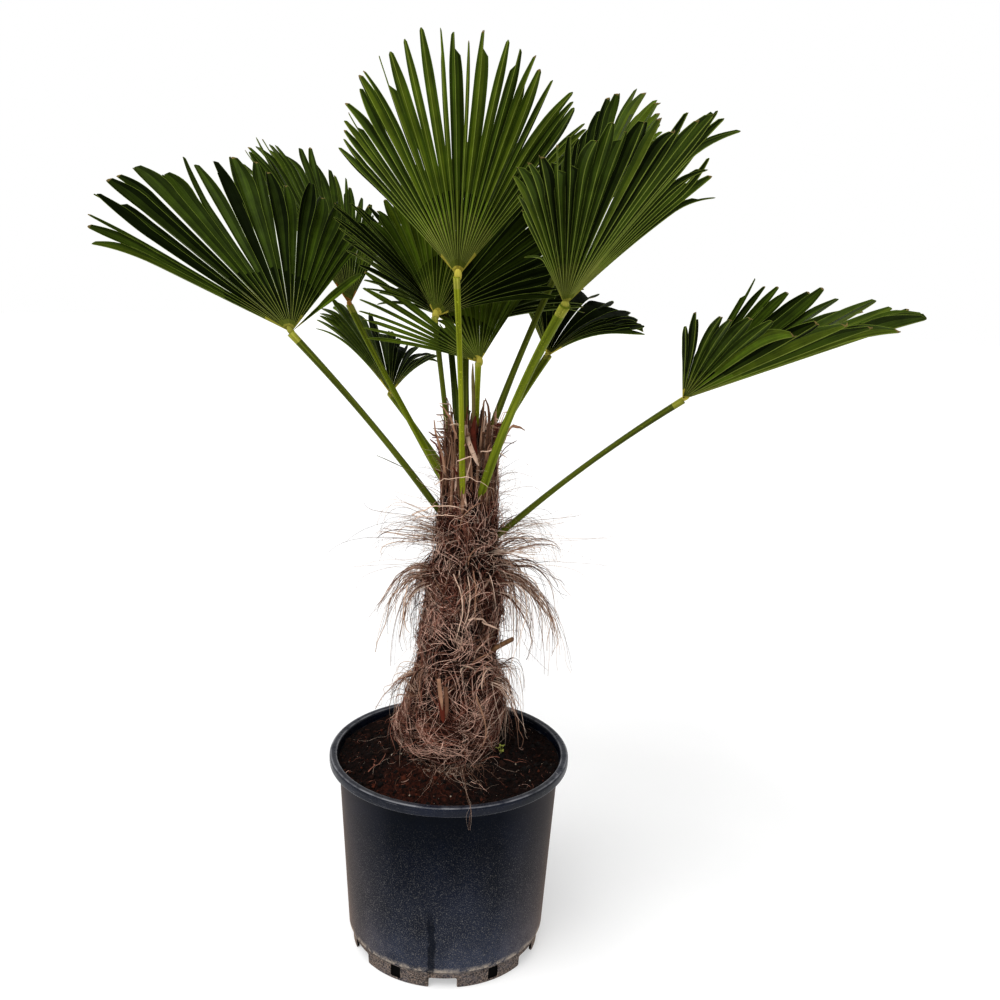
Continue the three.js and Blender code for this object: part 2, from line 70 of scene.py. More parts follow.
# Each frond: its stalk, then its fan, as in the solids.
FROND_KEYS = (
    "root", "out", "start", "heading", "rise", "sag", "stalk", "turn", "pitch", "roll",
    "spread", "skew", "cup", "reach", "droop", "loss", "round",
)
FRONDS = [
    (708, 44, -10, -10, 45, 9, 358, -10, 25, 8, 62, 8, 40, 385, 0, 0.42, 0.7),
    (736, 40, 165, 184, 54, 7, 364, -35, 44, -11, 53, 12, 0, 358, 0, 0.14, 3),
    (768, 38, 114, 114, 19, 2, 325, -26, 17, 1, 36, -16, 40, 355, 0.13, 0.28, 1.2),
    (772, 38, 146, 124, 36, -5, 409, -20, 39.4, 31, 34, -9, 9, 390, 0.06, 0.17, 2.6),
    (787, 40, 256, 256, 82, 7, 333, 3, 88, 4, 46, 4, 27, 342, 0.05, 0.17, 1.5),
    (788, 40, -63, -63, 63, 16, 371, -30, 38, -1, 36, -15, 33, 372, 0.05, 0.33, 2.2),
    (812, 38, 63, 63, 33, 7, 286, 22, 30, 22, 70, -9, 52, 350, 0.18, 0.38, 1.1),
    (840, 36, 150, 136, 79, 0, 203, -41, 82, 0, 50, 21, 10, 312, 0.08, 0.36, 1.2),
    (850, 24, 70, 60, 89, 0, 124, 28, 48, 14, 56, -32, 8, 250, 0.04, 0.28, 1.5),
    (872, 38, 38, 42, 64, 7, 275, 19, 54, -25, 34, 6, 8, 345, 0.04, 0.28, 1.5),
    (888, 30, 110, 92, 70, 11, 140, -14, 33, 0, 58, 0, 6, 345, 0.1, 0.4, 1.2),
    (888, 24, 160, 100, 56, 6, 168, 66, 52, -18, 42, -12, 18, 270, 0.1, 0.2, 1.0),
]

# How each fan looks. leaflets counts them, girth widens the stalk, green is the stalk's
# colour, and hub the colour of the fan's base. Places across the fan run from -1 to 1. There
# tones says how green its leaflets are, from 0 (darkest) to 4, joins how far they are
# joined, and lengths how long they are; gaps are where the fan has torn nearly to its hub.
# The tones are partly the leaflets' own greens and partly painted shade and painted light:
# darker where a fan lies in shadow, as the fans at the back do, and lighter where it is lit.
# wide says how much of its room a free leaflet fills, and extra is one that stands apart:
# its place, length and green.
PLAIN_LOOK = dict(wide=1.05, hub=0, gaps=(), lengths={-1: 1, 1: 1})
FROND_LOOKS = [
    dict(leaflets=24, girth=1.15, green=1, wide=1.2, tones={-1: 1.6, -0.2: 2.4, 0.3: 2.6, 1: 1.6},
         joins={-1: 0.5, -0.2: 0.62, 0.1: 0.78, 0.6: 0.6, 1: 0.5}),
    dict(leaflets=22, girth=1.3, green=1, wide=1.4, hub=1, gaps=(-0.84, -0.12), extra=(1.14, 0.8, 4),
         tones={-1: 2.6, -0.86: 2.6, -0.78: 1.1, -0.48: 1.1, -0.38: 2.0, -0.2: 1.9, 0: 1.2,
                0.5: 1.5, 1: 2.0},
         joins={-1: 0.72, -0.7: 0.66, -0.5: 0.8, -0.2: 0.74, 0: 0.5, 0.3: 0.5, 1: 0.64},
         lengths={-1: 1, -0.45: 1, -0.3: 0.92, 0: 0.91, 0.15: 1, 1: 1}),
    dict(leaflets=22, girth=0.95, green=2, wide=1.3,
         tones={-1: 3.2, -0.1: 3.4, 0.1: 1.2, 0.5: 0.4, 1: 0.3},
         joins={-1: 0.5, -0.84: 0.62, -0.76: 0.88, -0.1: 0.86, 0.1: 0.6, 1: 0.5}),
    dict(leaflets=24, girth=1.0, green=2, wide=1.2, hub=2, tones={-1: 1.6, 0: 2.2, 1: 1.8},
         joins={-1: 0.7, 0: 0.65, 1: 0.5}),
    dict(leaflets=28, girth=1.15, green=3, wide=1.12, tones={-1: 2.0, -0.4: 3.0, 0.4: 3.1, 1: 2.1},
         joins={-1: 0.66, -0.6: 0.58, -0.3: 0.46, 0.2: 0.45, 0.45: 0.62, 1: 0.82}),
    dict(leaflets=28, girth=1.2, green=2, wide=1.4, hub=1, tones={-1: 1.2, -0.3: 1.4, 0.3: 1.5, 1: 2.0},
         joins={-1: 0.9, -0.86: 0.88, -0.7: 0.74, -0.5: 0.88, 0.2: 0.8, 1: 0.74},
         lengths={-1: 1, -0.86: 1, -0.8: 0.86, -0.62: 0.86, -0.56: 1, 0.82: 1, 0.93: 0.78,
                  0.97: 0.5, 1: 0.45}),
    dict(leaflets=18, girth=1.1, green=2, wide=1.4, tones={-1: 0.7, 0: 0.3, 0.8: 0.3, 1: 1.4},
         joins={-1: 0.6, 1: 0.7}),
    dict(leaflets=24, girth=1.1, green=1, wide=1.2,
         tones={-1: 1.6, -0.8: 3.6, 0.1: 3.8, 0.3: 0.7, 1: 0.5},
         joins={-1: 0.8, 0.1: 0.8, 0.3: 0.6, 1: 0.6}),
    dict(leaflets=22, girth=1.15, green=3, wide=1.15,
         tones={-1: 3.2, -0.4: 3.0, -0.1: 3.8, 0.8: 4.0, 1: 3.0},
         joins={-1: 0.36, -0.42: 0.32, -0.1: 0.5, 0.1: 0.74, 1: 0.66},
         lengths={-1: 1, -0.44: 1, -0.4: 0.4, -0.12: 0.4, -0.08: 1, 1: 1}),
    dict(leaflets=20, girth=1.0, green=1, wide=1.3, tones={-1: 0.4, -0.3: 0.8, 0.1: 3.7, 1: 3.7},
         joins={-1: 0.7, 1: 0.8}),
    dict(leaflets=24, girth=0.9, green=1, tones={-1: 0.1, 0: 0.5, 1: 0.2},
         joins={-1: 0.5, 0: 0.65, 1: 0.5}),
    dict(leaflets=18, girth=0.9, green=0, tones={-1: 0.0, 1: 0.2}, joins={-1: 0.4, 1: 0.5}),
]

# Tufts of loose fibre, about as in the solids: height, heading, reach, fall, rise, angle
# fanned over, and the number of hairs.
TUFTS = {
    "tuft_left_high": (706, 185, 108, 5, 14, 60, 40),
    "tuft_right_high": (690, -4, 118, -15, 14, 60, 52),
    "tuft_front_high": (652, 262, 34, 75, 8, 80, 46),
    "tuft_back_high": (696, 85, 85, 20, 15, 80, 40),
    "tuft_left_low": (645, 188, 72, 130, 14, 60, 56),
    "tuft_right_low": (648, -12, 96, 160, 14, 60, 64),
    "tuft_back_low": (640, 80, 70, 120, 15, 80, 90),
    "tuft_foot_left": (478, 195, 42, 70, 12, 50, 50),
    "tuft_foot_right": (478, -15, 48, 120, 14, 50, 56),
}

# Drooping locks that show one by one: the hairs in each, how far they stray, and the
# places that they run through.
LOCKS = [
    (34, 5, (-28, -22, 636), (-52, -24, 648), (-78, -24, 634), (-100, -22, 590), (-118, -20, 508)),
    (22, 5, (-30, -14, 652), (-58, -16, 660), (-86, -16, 640), (-112, -14, 596), (-126, -12, 560)),
    (20, 4, (-30, -34, 640), (-52, -38, 636), (-72, -38, 610), (-80, -36, 560), (-76, -34, 524)),
    (34, 5, (66, -22, 650), (96, -26, 654), (130, -28, 626), (160, -28, 588), (178, -28, 520),
     (188, -28, 478)),
    (24, 5, (66, -12, 640), (104, -16, 636), (140, -18, 596), (158, -18, 556), (150, -18, 500)),
    (22, 4, (64, -34, 628), (92, -38, 622), (116, -40, 590), (126, -40, 552), (118, -38, 522)),
    (14, 5, (70, -6, 664), (120, -8, 668), (160, -10, 634), (196, -10, 600)),
    (18, 5, (56, -40, 478), (84, -48, 470), (102, -52, 440), (112, -56, 398), (118, -58, 360)),
    (14, 4, (60, -30, 486), (92, -34, 474), (106, -38, 430), (104, -40, 380)),
    (16, 4, (-52, -30, 486), (-78, -34, 478), (-98, -36, 452), (-112, -36, 420)),
    (26, 6, (20, 44, 660), (24, 84, 656), (30, 108, 610), (34, 116, 540)),
    (22, 6, (-10, 46, 640), (-24, 80, 640), (-34, 104, 600), (-30, 112, 530)),
    (20, 6, (60, 24, 650), (96, 48, 648), (116, 66, 600), (120, 76, 530)),
]

# Straps that show one by one: their colour among the strips, half width, and the places
# that they run through.
PALE, TAN, BROWN, RED, OLIVE = range(5)
STRAPS = [
    (PALE, 1.1, (0, -64, 664), (12, -71, 640), (17, -74, 606), (10, -70, 575), (4, -68, 552)),
    (PALE, 0.9, (22, -60, 660), (27, -70, 634), (24, -74, 600), (14, -68, 570)),
    (TAN, 1.0, (30, -56, 668), (36, -68, 640), (33, -70, 610), (38, -66, 580)),
    (PALE, 1.6, (24, -66, 592), (42, -67, 592), (54, -60, 582)),
    (PALE, 1.4, (46, -60, 584), (62, -57, 576), (74, -48, 566)),
    (PALE, 0.8, (-64, -50, 752), (-42, -58, 766), (-15, -62, 773), (8, -62, 770), (24, -59, 760)),
    (PALE, 0.7, (-60, -40, 742), (-40, -54, 752), (-12, -60, 756), (16, -60, 748)),
    (TAN, 3.4, (-19, -82, 498), (-17, -86, 484), (-14, -88, 466), (-12, -90, 450)),
    (RED, 3.8, (-16, -85, 468), (-13, -88, 452), (-11, -91, 438), (-10, -93, 428)),
    (BROWN, 3.2, (-8, -84, 486), (-6, -87, 468), (-5, -90, 450), (-6, -92, 436)),
    (PALE, 1.0, (-70, -52, 640), (-76, -60, 610), (-74, -58, 580), (-66, -52, 560)),
    (TAN, 1.2, (40, -82, 470), (52, -84, 440), (58, -90, 410), (50, -94, 385)),
]
CROWN_STRAPS = [
    (RED, 4.2, (28, -50, 846), (26, -49, 862), (24, -46, 880), (25, -42, 892), (28, -38, 904)),
    (PALE, 3.4, (16, -48, 874), (20, -51, 862), (26, -53, 848), (31, -54, 838), (34, -54, 832)),
    (OLIVE, 2.8, (25, 9, 880), (25, 9, 905), (24, 9, 935), (22, 9, 958), (22, 9, 974)),
    (TAN, 2.0, (0, -46, 868), (-4, -45, 888), (-11, -44, 903), (-18, -43, 912), (-26, -42, 918)),
    (BROWN, 1.8, (-12, -46, 840), (-20, -46, 858), (-28, -45, 870), (-36, -45, 878), (-42, -44, 880)),
    (TAN, 2.4, (-16, -47, 818), (-20, -47, 842), (-26, -46, 862), (-32, -45, 882), (-34, -44, 896)),
    (BROWN, 2.0, (45, -38, 866), (47, -37, 888), (48, -36, 904), (46, -36, 918), (41, -36, 930)),
    (TAN, 2.6, (66, -28, 850), (74, -26, 874), (82, -23, 886), (93, -20, 885), (103, -18, 879)),
    (TAN, 2.2, (64, -30, 844), (70, -29, 868), (74, -28, 888), (76, -27, 904)),
    (PALE, 1.0, (36, -50, 850), (52, -52, 856), (66, -50, 852), (76, -46, 842)),
    (PALE, 0.9, (2, -56, 838), (10, -58, 844), (22, -59, 846), (34, -58, 842)),
    (PALE, 0.6, (-30, -46, 800), (-8, -56, 812), (16, -60, 814), (42, -58, 806), (60, -50, 792)),
]

# The crossing fibre of the coat: low, high, strands, length, lean, spread of lean, base,
# lift, curl, radius, and the shares of the four colours on top.
FIBRE_ZONES = {
    "nest": (353, 436, 2500, 84, 4, 24, -3, 2.0, 1.2, 0.42, (0.4, 0.3, 0.2, 0.1)),
    "skirt": (353, 500, 900, 80, 50, 35, -1, 3, 1.8, 0.48, (0.36, 0.28, 0.24, 0.12)),
    "waist": (484, 600, 1450, 70, 62, 34, 0, 4.5, 2.0, 0.47, (0.36, 0.27, 0.22, 0.15)),
    "collar": (585, 680, 1350, 75, 45, 40, 0, 5, 2.2, 0.47, (0.22, 0.24, 0.32, 0.22)),
    "neck": (676, 770, 900, 52, 35, 34, -1.5, 2.6, 2.0, 0.48, (0.2, 0.22, 0.34, 0.24)),
}
# The hanging fringes of its tiers: height, hairs, reach, fall.
FRINGES = [
    (752, 60, 9, 26), (650, 260, 15, 46), (598, 180, 12, 56), (496, 150, 10, 40),
    (446, 160, 9, 50), (392, 110, 8, 36),
]
# Fine hair on all sides: low, high, hairs, reach, fall, rise.
FLYING_ZONES = [
    (655, 735, 170, 104, 8, 20), (700, 800, 120, 52, -14, 20), (790, 850, 90, 36, -20, 10),
    (500, 640, 240, 26, 45, 12), (360, 500, 320, 18, 34, 8),
]
# Long flying locks of a few hairs: height, heading, reach, fall, rise.
FLYING_LOCKS = [
    (720, -2, 150, -22, 6), (712, 8, 118, 6, 16), (700, -14, 130, 44, 24), (690, 4, 112, 30, 10),
    (716, 186, 130, 2, 10), (706, 176, 112, 24, 26), (724, 196, 92, -6, 10),
    (700, 100, 120, 20, 20), (712, 66, 110, 0, 12), (704, 130, 112, 30, 22),
]
# A wisp of hair that lies over the pot's rim at the front.
RIM_WISP = [
    (20, -86, 353), (25, -125, 344), (30, -165, 339), (33, -183, 342.5), (34, -192.5, 339),
    (34.5, -194, 330), (34.5, -192.5, 317), (34, -190, 302),
]

# Angles are in degrees, and the camera's place is in metres.
STUDIO = {"horizon": 1.0, "ceiling": 0.5, "key": 2.6, "key_angle": 45, "key_from": (-0.45, -0.6, 1.3)}
CAMERA = {"place": (0, -1.794, 1.256), "yaw": 2.22, "pitch": 15.31, "roll": 1.91, "lens": 43.2}

# ---------------------------------------------------------------- making meshes


class Shape:
    """Points and painted faces of one piece, gathered before its mesh is made."""

    def __init__(self):
        self.points = []
        self.grain = []
        self.faces = {3: [], 4: []}
        self.paint = {3: [], 4: []}
        self.count = 0

    def add(self, points, *face_sets, grain=None):
        """Each face set is a pair: the faces' corners, and the paint of each or of all.
        grain gives each point's place across and along the piece's own fibres, in mm."""
        points = np.asarray(points, float).reshape(-1, 3)
        if grain is not None:
            self.grain.append(np.asarray(grain, float).reshape(-1, 2))
        for faces, paint in face_sets:
            faces = np.asarray(faces, int)
            sides = faces.shape[1]
            self.faces[sides].append(faces + self.count)
            self.paint[sides].append(np.broadcast_to(paint, len(faces)))
        self.points.append(points)
        self.count += len(points)

    def mesh(self, name, materials):
        mesh = bpy.data.meshes.new(name)
        kinds = [sides for sides in (3, 4) if self.faces[sides]]
        faces = [np.concatenate(self.faces[sides]) for sides in kinds]
        paint = np.concatenate([np.concatenate(self.paint[sides]) for sides in kinds])
        sizes = np.concatenate([np.full(len(group), group.shape[1]) for group in faces])
        corners = np.concatenate([group.ravel() for group in faces])
        mesh.vertices.add(self.count)
        mesh.vertices.foreach_set("co", (np.concatenate(self.points) * MM).ravel())
        mesh.loops.add(len(corners))
        mesh.loops.foreach_set("vertex_index", corners)
        mesh.polygons.add(len(sizes))
        mesh.polygons.foreach_set("loop_start", np.concatenate([[0], np.cumsum(sizes)[:-1]]))
        mesh.polygons.foreach_set("material_index", paint)
        mesh.polygons.foreach_set("use_smooth", np.ones(len(sizes), bool))
        for material in materials:
            mesh.materials.append(material)
        if self.grain:
            grain = mesh.uv_layers.new(name="grain")
            grain.data.foreach_set("uv", (np.concatenate(self.grain)[corners] * MM).ravel())
        mesh.update(calc_edges=True)
        return mesh

    def piece(self, name, materials, slot, replaced=()):
        place(name, self.mesh(name, materials), slot, replaced)


def add_object(name, data):
    thing = bpy.data.objects.new(name, data)
    bpy.context.scene.collection.objects.link(thing)
    return thing


def place(name, mesh, slot, replaced=()):
    piece = add_object(name, mesh)
    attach(piece, BODY)
    if replaced:
        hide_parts(*replaced)


def unit(vectors):
    vectors = np.asarray(vectors, float)
    return vectors / np.maximum(np.linalg.norm(vectors, axis=-1, keepdims=True), 1e-9)


def direction(heading, rise=0.0):
    """Unit vectors for headings from +X towards +Y and rises above level, in degrees."""
    heading, rise = np.radians(heading), np.radians(rise)
    return polar(np.cos(rise), heading, np.sin(rise))


def polar(radius, around, height):
    """Points at a radius, an angle in radians and a height."""
    axes = np.broadcast_arrays(radius * np.cos(around), radius * np.sin(around), height)
    return np.stack(axes, -1).astype(float)


def circle(sides):
    return TURN * np.arange(sides) / sides


def ring_faces(strands, rows, ring):
    """Quads between the rows of many strands, and triangles that close their two ends."""
    base = np.arange(strands)[:, None, None] * rows * ring
    low = base + np.arange(rows - 1)[:, None] * ring
    here = np.arange(ring)
    after = (here + 1) % ring
    quads = np.stack([low + here, low + after, low + ring + after, low + ring + here], -1)
    first = base + np.array([(0, i + 1, i) for i in range(1, ring - 1)])
    last = first[:, :, ::-1] + (rows - 1) * ring
    return quads.reshape(-1, 4), np.concatenate([first, last]).reshape(-1, 3)


def strands(shape, lines, facing, ring, wide, high, paint):
    """Sweeps a ring along many lines. The ring's half-axes are wide across the line, and
    high towards facing, a direction that the lines don't run along."""
    count, rows, _ = lines.shape
    along = unit(np.gradient(lines, axis=1))
    across = unit(np.cross(along, facing))
    over = np.cross(across, along)
    across = across * np.broadcast_to(wide, (count, rows))[..., None]
    over = over * np.broadcast_to(high, (count, rows))[..., None]
    points = np.stack([lines + across * x + over * y for x, y in ring], 2)
    quads, ends = ring_faces(count, rows, len(ring))
    paint = np.broadcast_to(paint, count)
    shape.add(points, (quads, np.repeat(paint, (rows - 1) * len(ring))),
              (ends, np.tile(np.repeat(paint, len(ring) - 2), 2)))


def round_ring(sides):
    return [(math.cos(TURN * i / sides), math.sin(TURN * i / sides)) for i in range(sides)]


def hairs(shape, lines, radii, facing, paint=0, sides=3):
    """Thin round strands."""
    strands(shape, lines, facing, round_ring(sides), radii, radii, paint)


def ribbons(shape, lines, half_widths, facing, half_thickness, paint=0):
    """Flat strips that face one way, with square edges."""
    corners = [(1, 1), (-1, 1), (-1, -1), (1, -1)]
    strands(shape, lines, facing, corners, half_widths, half_thickness, paint)


def ripples(points, size, seed, waves=24):
    """Smooth noise between about -1 and 1, from waves of many directions and lengths."""
    rng = np.random.default_rng(seed)
    total = np.zeros(points.shape[:-1])
    weight = 0.0
    for _ in range(waves):
        way = unit(rng.normal(size=3))
        length = size * rng.uniform(0.5, 2.0)
        total += length * np.sin(points @ way * TURN / length + rng.uniform(0, TURN))
        weight += length * length / 2
    return total / math.sqrt(weight) / 1.6


def turned(shape, profile, sides, closed=False):
    """Turns an outline of (radius, height) about the pot's axis, from below to above."""
    radius, height = np.array(profile, float).T[..., None]
    rows = len(profile)
    quads, _ = ring_faces(1, rows + closed, sides)
    shape.add(polar(radius, circle(sides), height), (quads % (rows * sides), 0))


def draws(rng, size):
    """Seeded draws of one size: even ones between two limits, and ones that stray."""
    return partial(rng.uniform, size=size), partial(rng.normal, size=size)


def dealt(rng, count, *shares):
    """The paint of each strand, dealt out by the shares of the colours."""
    return rng.choice(len(shares), count, p=shares)


# ---------------------------------------------------------------- materials


def srgb(*color):
    """A colour given as the eye sees it, 0 to 255, as the linear colour that shaders take."""
    values = [value / 255 for value in color]
    return (*(v / 12.92 if v <= 0.04045 else ((v + 0.055) / 1.055) ** 2.4 for v in values), 1.0)


def shade(color, factor):
    return tuple(channel * factor for channel in color[:3]) + (1.0,)


class Value:
    """An output of a finish's node. Arithmetic with it makes more nodes."""

    def __init__(self, finish, output):
        self.finish = finish
        self.output = output

    def __add__(self, other):
        return self.finish.math("ADD", self, other)

    def __sub__(self, other):
        return self.finish.math("SUBTRACT", self, other)

    def __rsub__(self, other):
        return self.finish.math("SUBTRACT", other, self)

    def __mul__(self, other):
        return self.finish.math("MULTIPLY", self, other)

    def __abs__(self):
        return self.finish.math("ABSOLUTE", self)

    def between(self, low, high, to_low=0.0, to_high=1.0):
        """Maps the range from low to high to another, and stops at its ends."""
        limits = {"From Min": low, "From Max": high, "To Min": to_low, "To Max": to_high}
        return self.finish.value("ShaderNodeMapRange", "Result", {"Value": self, **limits})

    def ramp(self, *stops):
        """stops are (position, colour) pairs."""
        ramp = self.finish.node("ShaderNodeValToRGB", {"Fac": self})
        elements = ramp.color_ramp.elements
        while len(elements) < len(stops):
            elements.new(0.5)
        for element, (position, color) in zip(elements, stops):
            element.position = position
            element.color = color
        return Value(self.finish, ramp.outputs["Color"])


class Finish:
    """A principled material with helpers for its procedural detail."""

    def __init__(self, name, roughness, specular):
        self.material = bpy.data.materials.new(name)
        self.material.use_nodes = True
        self.tree = self.material.node_tree
        self.shader = next(n for n in self.tree.nodes if n.type == "BSDF_PRINCIPLED")
        self.feed(self.shader, {"Roughness": roughness, "Specular IOR Level": specular})
        self.place = self.value("ShaderNodeTexCoord", "Object")

    def feed(self, node, inputs):
        """Gives a node's inputs numbers, colours or other nodes' outputs."""
        for socket, value in inputs.items():
            if isinstance(value, Value):
                self.tree.links.new(value.output, node.inputs[socket])
            else:
                node.inputs[socket].default_value = value

    def node(self, kind, inputs, **settings):
        node = self.tree.nodes.new(kind)
        for setting, value in settings.items():
            setattr(node, setting, value)
        self.feed(node, inputs)
        return node

    def value(self, kind, output, inputs={}, **settings):
        return Value(self, self.node(kind, inputs, **settings).outputs[output])

    def scaled(self, place, *scale):
        return self.value("ShaderNodeMapping", "Vector", {"Vector": place, "Scale": scale})

    def grained(self, across, along):
        """The grain's own coordinates, for streaks that are long where along is small."""
        grain = self.value("ShaderNodeUVMap", "UV", uv_map="grain")
        return self.scaled(grain, across, along, 1)

    def noise(self, scale, detail=4.0, roughness=0.55, vector=None):
        inputs = {"Scale": scale, "Detail": detail, "Roughness": roughness}
        return self.value("ShaderNodeTexNoise", "Fac", {"Vector": vector or self.place, **inputs})

    def mix(self, share, low, high):
        return self.value("ShaderNodeMix", 2, {0: share, 6: low, 7: high}, data_type="RGBA")

    def math(self, operation, first, second=0.0):
        return self.value("ShaderNodeMath", "Value", {0: first, 1: second}, operation=operation)

    def vector_math(self, operation, output, *values):
        return self.value("ShaderNodeVectorMath", output, dict(enumerate(values)), operation=operation)

    def distance(self, *point):
        """How far a place is from a given one, in metres."""
        return self.vector_math("DISTANCE", "Value", self.place, point)

    def reach_from_axis(self):
        """How far a place is from the pot's axis, in metres."""
        level = self.vector_math("MULTIPLY", "Vector", self.place, (1, 1, 0))
        return self.vector_math("LENGTH", "Value", level)

    def axes(self):
        parts = self.node("ShaderNodeSeparateXYZ", {"Vector": self.place})
        return [Value(self, output) for output in parts.outputs]

    def done(self, color, relief, roughness=None):
        """relief is the bumps' pattern, their height in metres and their strength."""
        height, distance, strength = relief
        bump = {"Height": height, "Distance": distance, "Strength": strength}
        self.feed(self.shader, {"Base Color": color, "Normal": self.value("ShaderNodeBump", "Normal", bump)})
        if roughness:
            self.feed(self.shader, {"Roughness": roughness})
        return self.material


def leaf_finish(name, color, roughness=0.46, contrast=1.0, specular=0.05):
    """Living leaf: streaks along its fibres, faint blotches and a slightly uneven gloss."""
    finish = Finish(name, roughness, specular)
    color = srgb(*color)
    streaks = finish.noise(1, 5, vector=finish.grained(520, 9))
    tone = streaks * 0.55 + finish.noise(26) * 0.45
    low, high = shade(color, 1 - 0.5 * contrast), shade(color, 1 + 0.55 * contrast)
    gloss = finish.noise(90).between(0.3, 0.7, roughness - 0.08, roughness + 0.14)
    return finish.done(tone.ramp((0.34, low), (0.5, color), (0.66, high)), (streaks, 0.0005, 0.5), gloss)


def stalk_finish(name, color, pale):
    """Smooth green stalk with long darker and paler streaks, and small pale specks."""
    finish = Finish(name, 0.4, 0.06)
    color, pale = srgb(*color), srgb(*pale)
    streaks = finish.noise(1, vector=finish.grained(260, 5))
    base = streaks.ramp((0.36, shade(color, 0.62)), (0.5, color), (0.66, pale))
    specks = finish.noise(420, 1).between(0.68, 0.74)
    gloss = finish.noise(60).between(0.3, 0.7, 0.34, 0.52)
    return finish.done(finish.mix(specks, base, shade(pale, 1.25)), (streaks, 0.0006, 0.5), gloss)


def fibre_finish(name, color):
    finish = Finish(name, 0.8, 0.08)
    color = srgb(*color)
    tint = finish.noise(70, 3).ramp((0.25, shade(color, 0.6)), (0.55, color), (0.8, shade(color, 1.35)))
    return finish.done(tint, (finish.noise(1500, 2), 0.0002, 0.4))


def earth_finish(name, dark, light, scale=120, bump=0.0012):
    finish = Finish(name, 0.92, 0.2)
    tone = finish.noise(scale, 8, 0.7).ramp((0.32, srgb(*dark)), (0.72, srgb(*light)))
    return finish.done(tone, (finish.noise(scale * 4, 6, 0.7), bump, 0.9))


def peat_finish(name, dark, light, bump):
    """Dark potting soil, redder with bark at its left front."""
    finish = Finish(name, 0.92, 0.15)
    tone = finish.noise(170, 8, 0.7)
    plain = tone.ramp((0.32, srgb(*dark)), (0.72, srgb(*light)))
    bark = tone.ramp((0.36, srgb(20, 8, 5)), (0.7, srgb(92, 42, 26)))
    patch = finish.distance(-0.05, -0.125, 0.33) + finish.noise(45).between(0.3, 0.7, -0.02, 0.02)
    color = finish.mix(patch.between(0.085, 0.04, 0.0, 0.6), plain, bark)
    return finish.done(color, (finish.noise(600, 6, 0.7), bump, 0.9))


def pot_finish():
    """Weathered charcoal plastic: dust that gathers low down, specks, mud on the foot, and a
    washed streak down the front. Its left and right sides are lighter and browner, partly dust
    and partly a painted reflection, and the insides of the blind drain holes are painted
    near-black as shade."""
    finish = Finish("pot_plastic_dusty_painted_light", 0.45, 0.05)
    across, depth, height = finish.axes()
    clean = finish.noise(9, 6).ramp((0.3, srgb(1, 5, 13)), (0.7, srgb(7, 15, 31)))
    wobble = finish.noise(14, 3) * 0.03
    off_streak = abs(across - (wobble - 0.036)) + finish.noise(110, 5) * 0.009
    streak = off_streak.between(0.011, 0.0085) * height.between(0.15, 0.12) * depth.between(-0.10, -0.12)
    kept = 1.0 - streak * 0.75
    film = finish.noise(5, 8, 0.7).between(0.35, 0.75, 0.02, 0.18) * height.between(0.26, 0.04, 0.1, 3.8)
    low_dust = height.between(0.10, 0.0) * finish.noise(30, 6, 0.75).between(0.35, 0.62, 0.05, 0.5)
    # Lighter, browner left and right sides: partly dust, partly a painted reflection of the floor at the
    # silhouettes seen from the front.
    sides = abs(across).between(0.08, 0.17)
    dust_and_side_reflection = (film + low_dust + sides * 0.24) * kept
    color = finish.mix(dust_and_side_reflection, clean, finish.mix(sides, srgb(80, 85, 102), srgb(118, 108, 104)))
    mud = finish.noise(45, 6, 0.75).between(0.3, 0.55, 0.3, 0.85) * height.between(0.030, 0.024)
    dirt = finish.noise(380, 3, 0.8).ramp((0.42, srgb(40, 34, 31)), (0.62, srgb(158, 140, 126)))
    color = finish.mix(mud, color, dirt)
    grit = finish.noise(640, 2, 0.8).between(0.58, 0.63, 0.0, 0.7)
    flecks = finish.noise(330, 3, 0.7).between(0.67, 0.7)
    specks = finish.math("MAXIMUM", grit, flecks) * kept * height.between(0.31, 0.1, 0.06, 1.0)
    color = finish.mix(specks, color, srgb(132, 129, 124))
    ledge = abs(height - 0.033).between(0.009, 0.001)
    scuffs = ledge * finish.noise(60, 6, 0.8).between(0.42, 0.56) * kept * 0.9
    color = finish.mix(scuffs, color, srgb(176, 164, 150))
    # Painted shade: the insides of the blind drain holes, only a few millimetres deep, are painted
    # near-black.
    drain_shade = abs(height - 0.015).between(0.012, 0.011) * finish.reach_from_axis().between(0.1559, 0.1555)
    color = finish.mix(drain_shade, color, srgb(5, 5, 6))
    sheen = {"Sheen Weight": 0.3, "Sheen Roughness": 0.25, "Sheen Tint": srgb(170, 140, 115)}
    finish.feed(finish.shader, sheen)
    return finish.done(color, (finish.noise(260, 6, 0.7), 0.0003, 0.4), dust_and_side_reflection.between(0.0, 0.5, 0.34, 0.75))


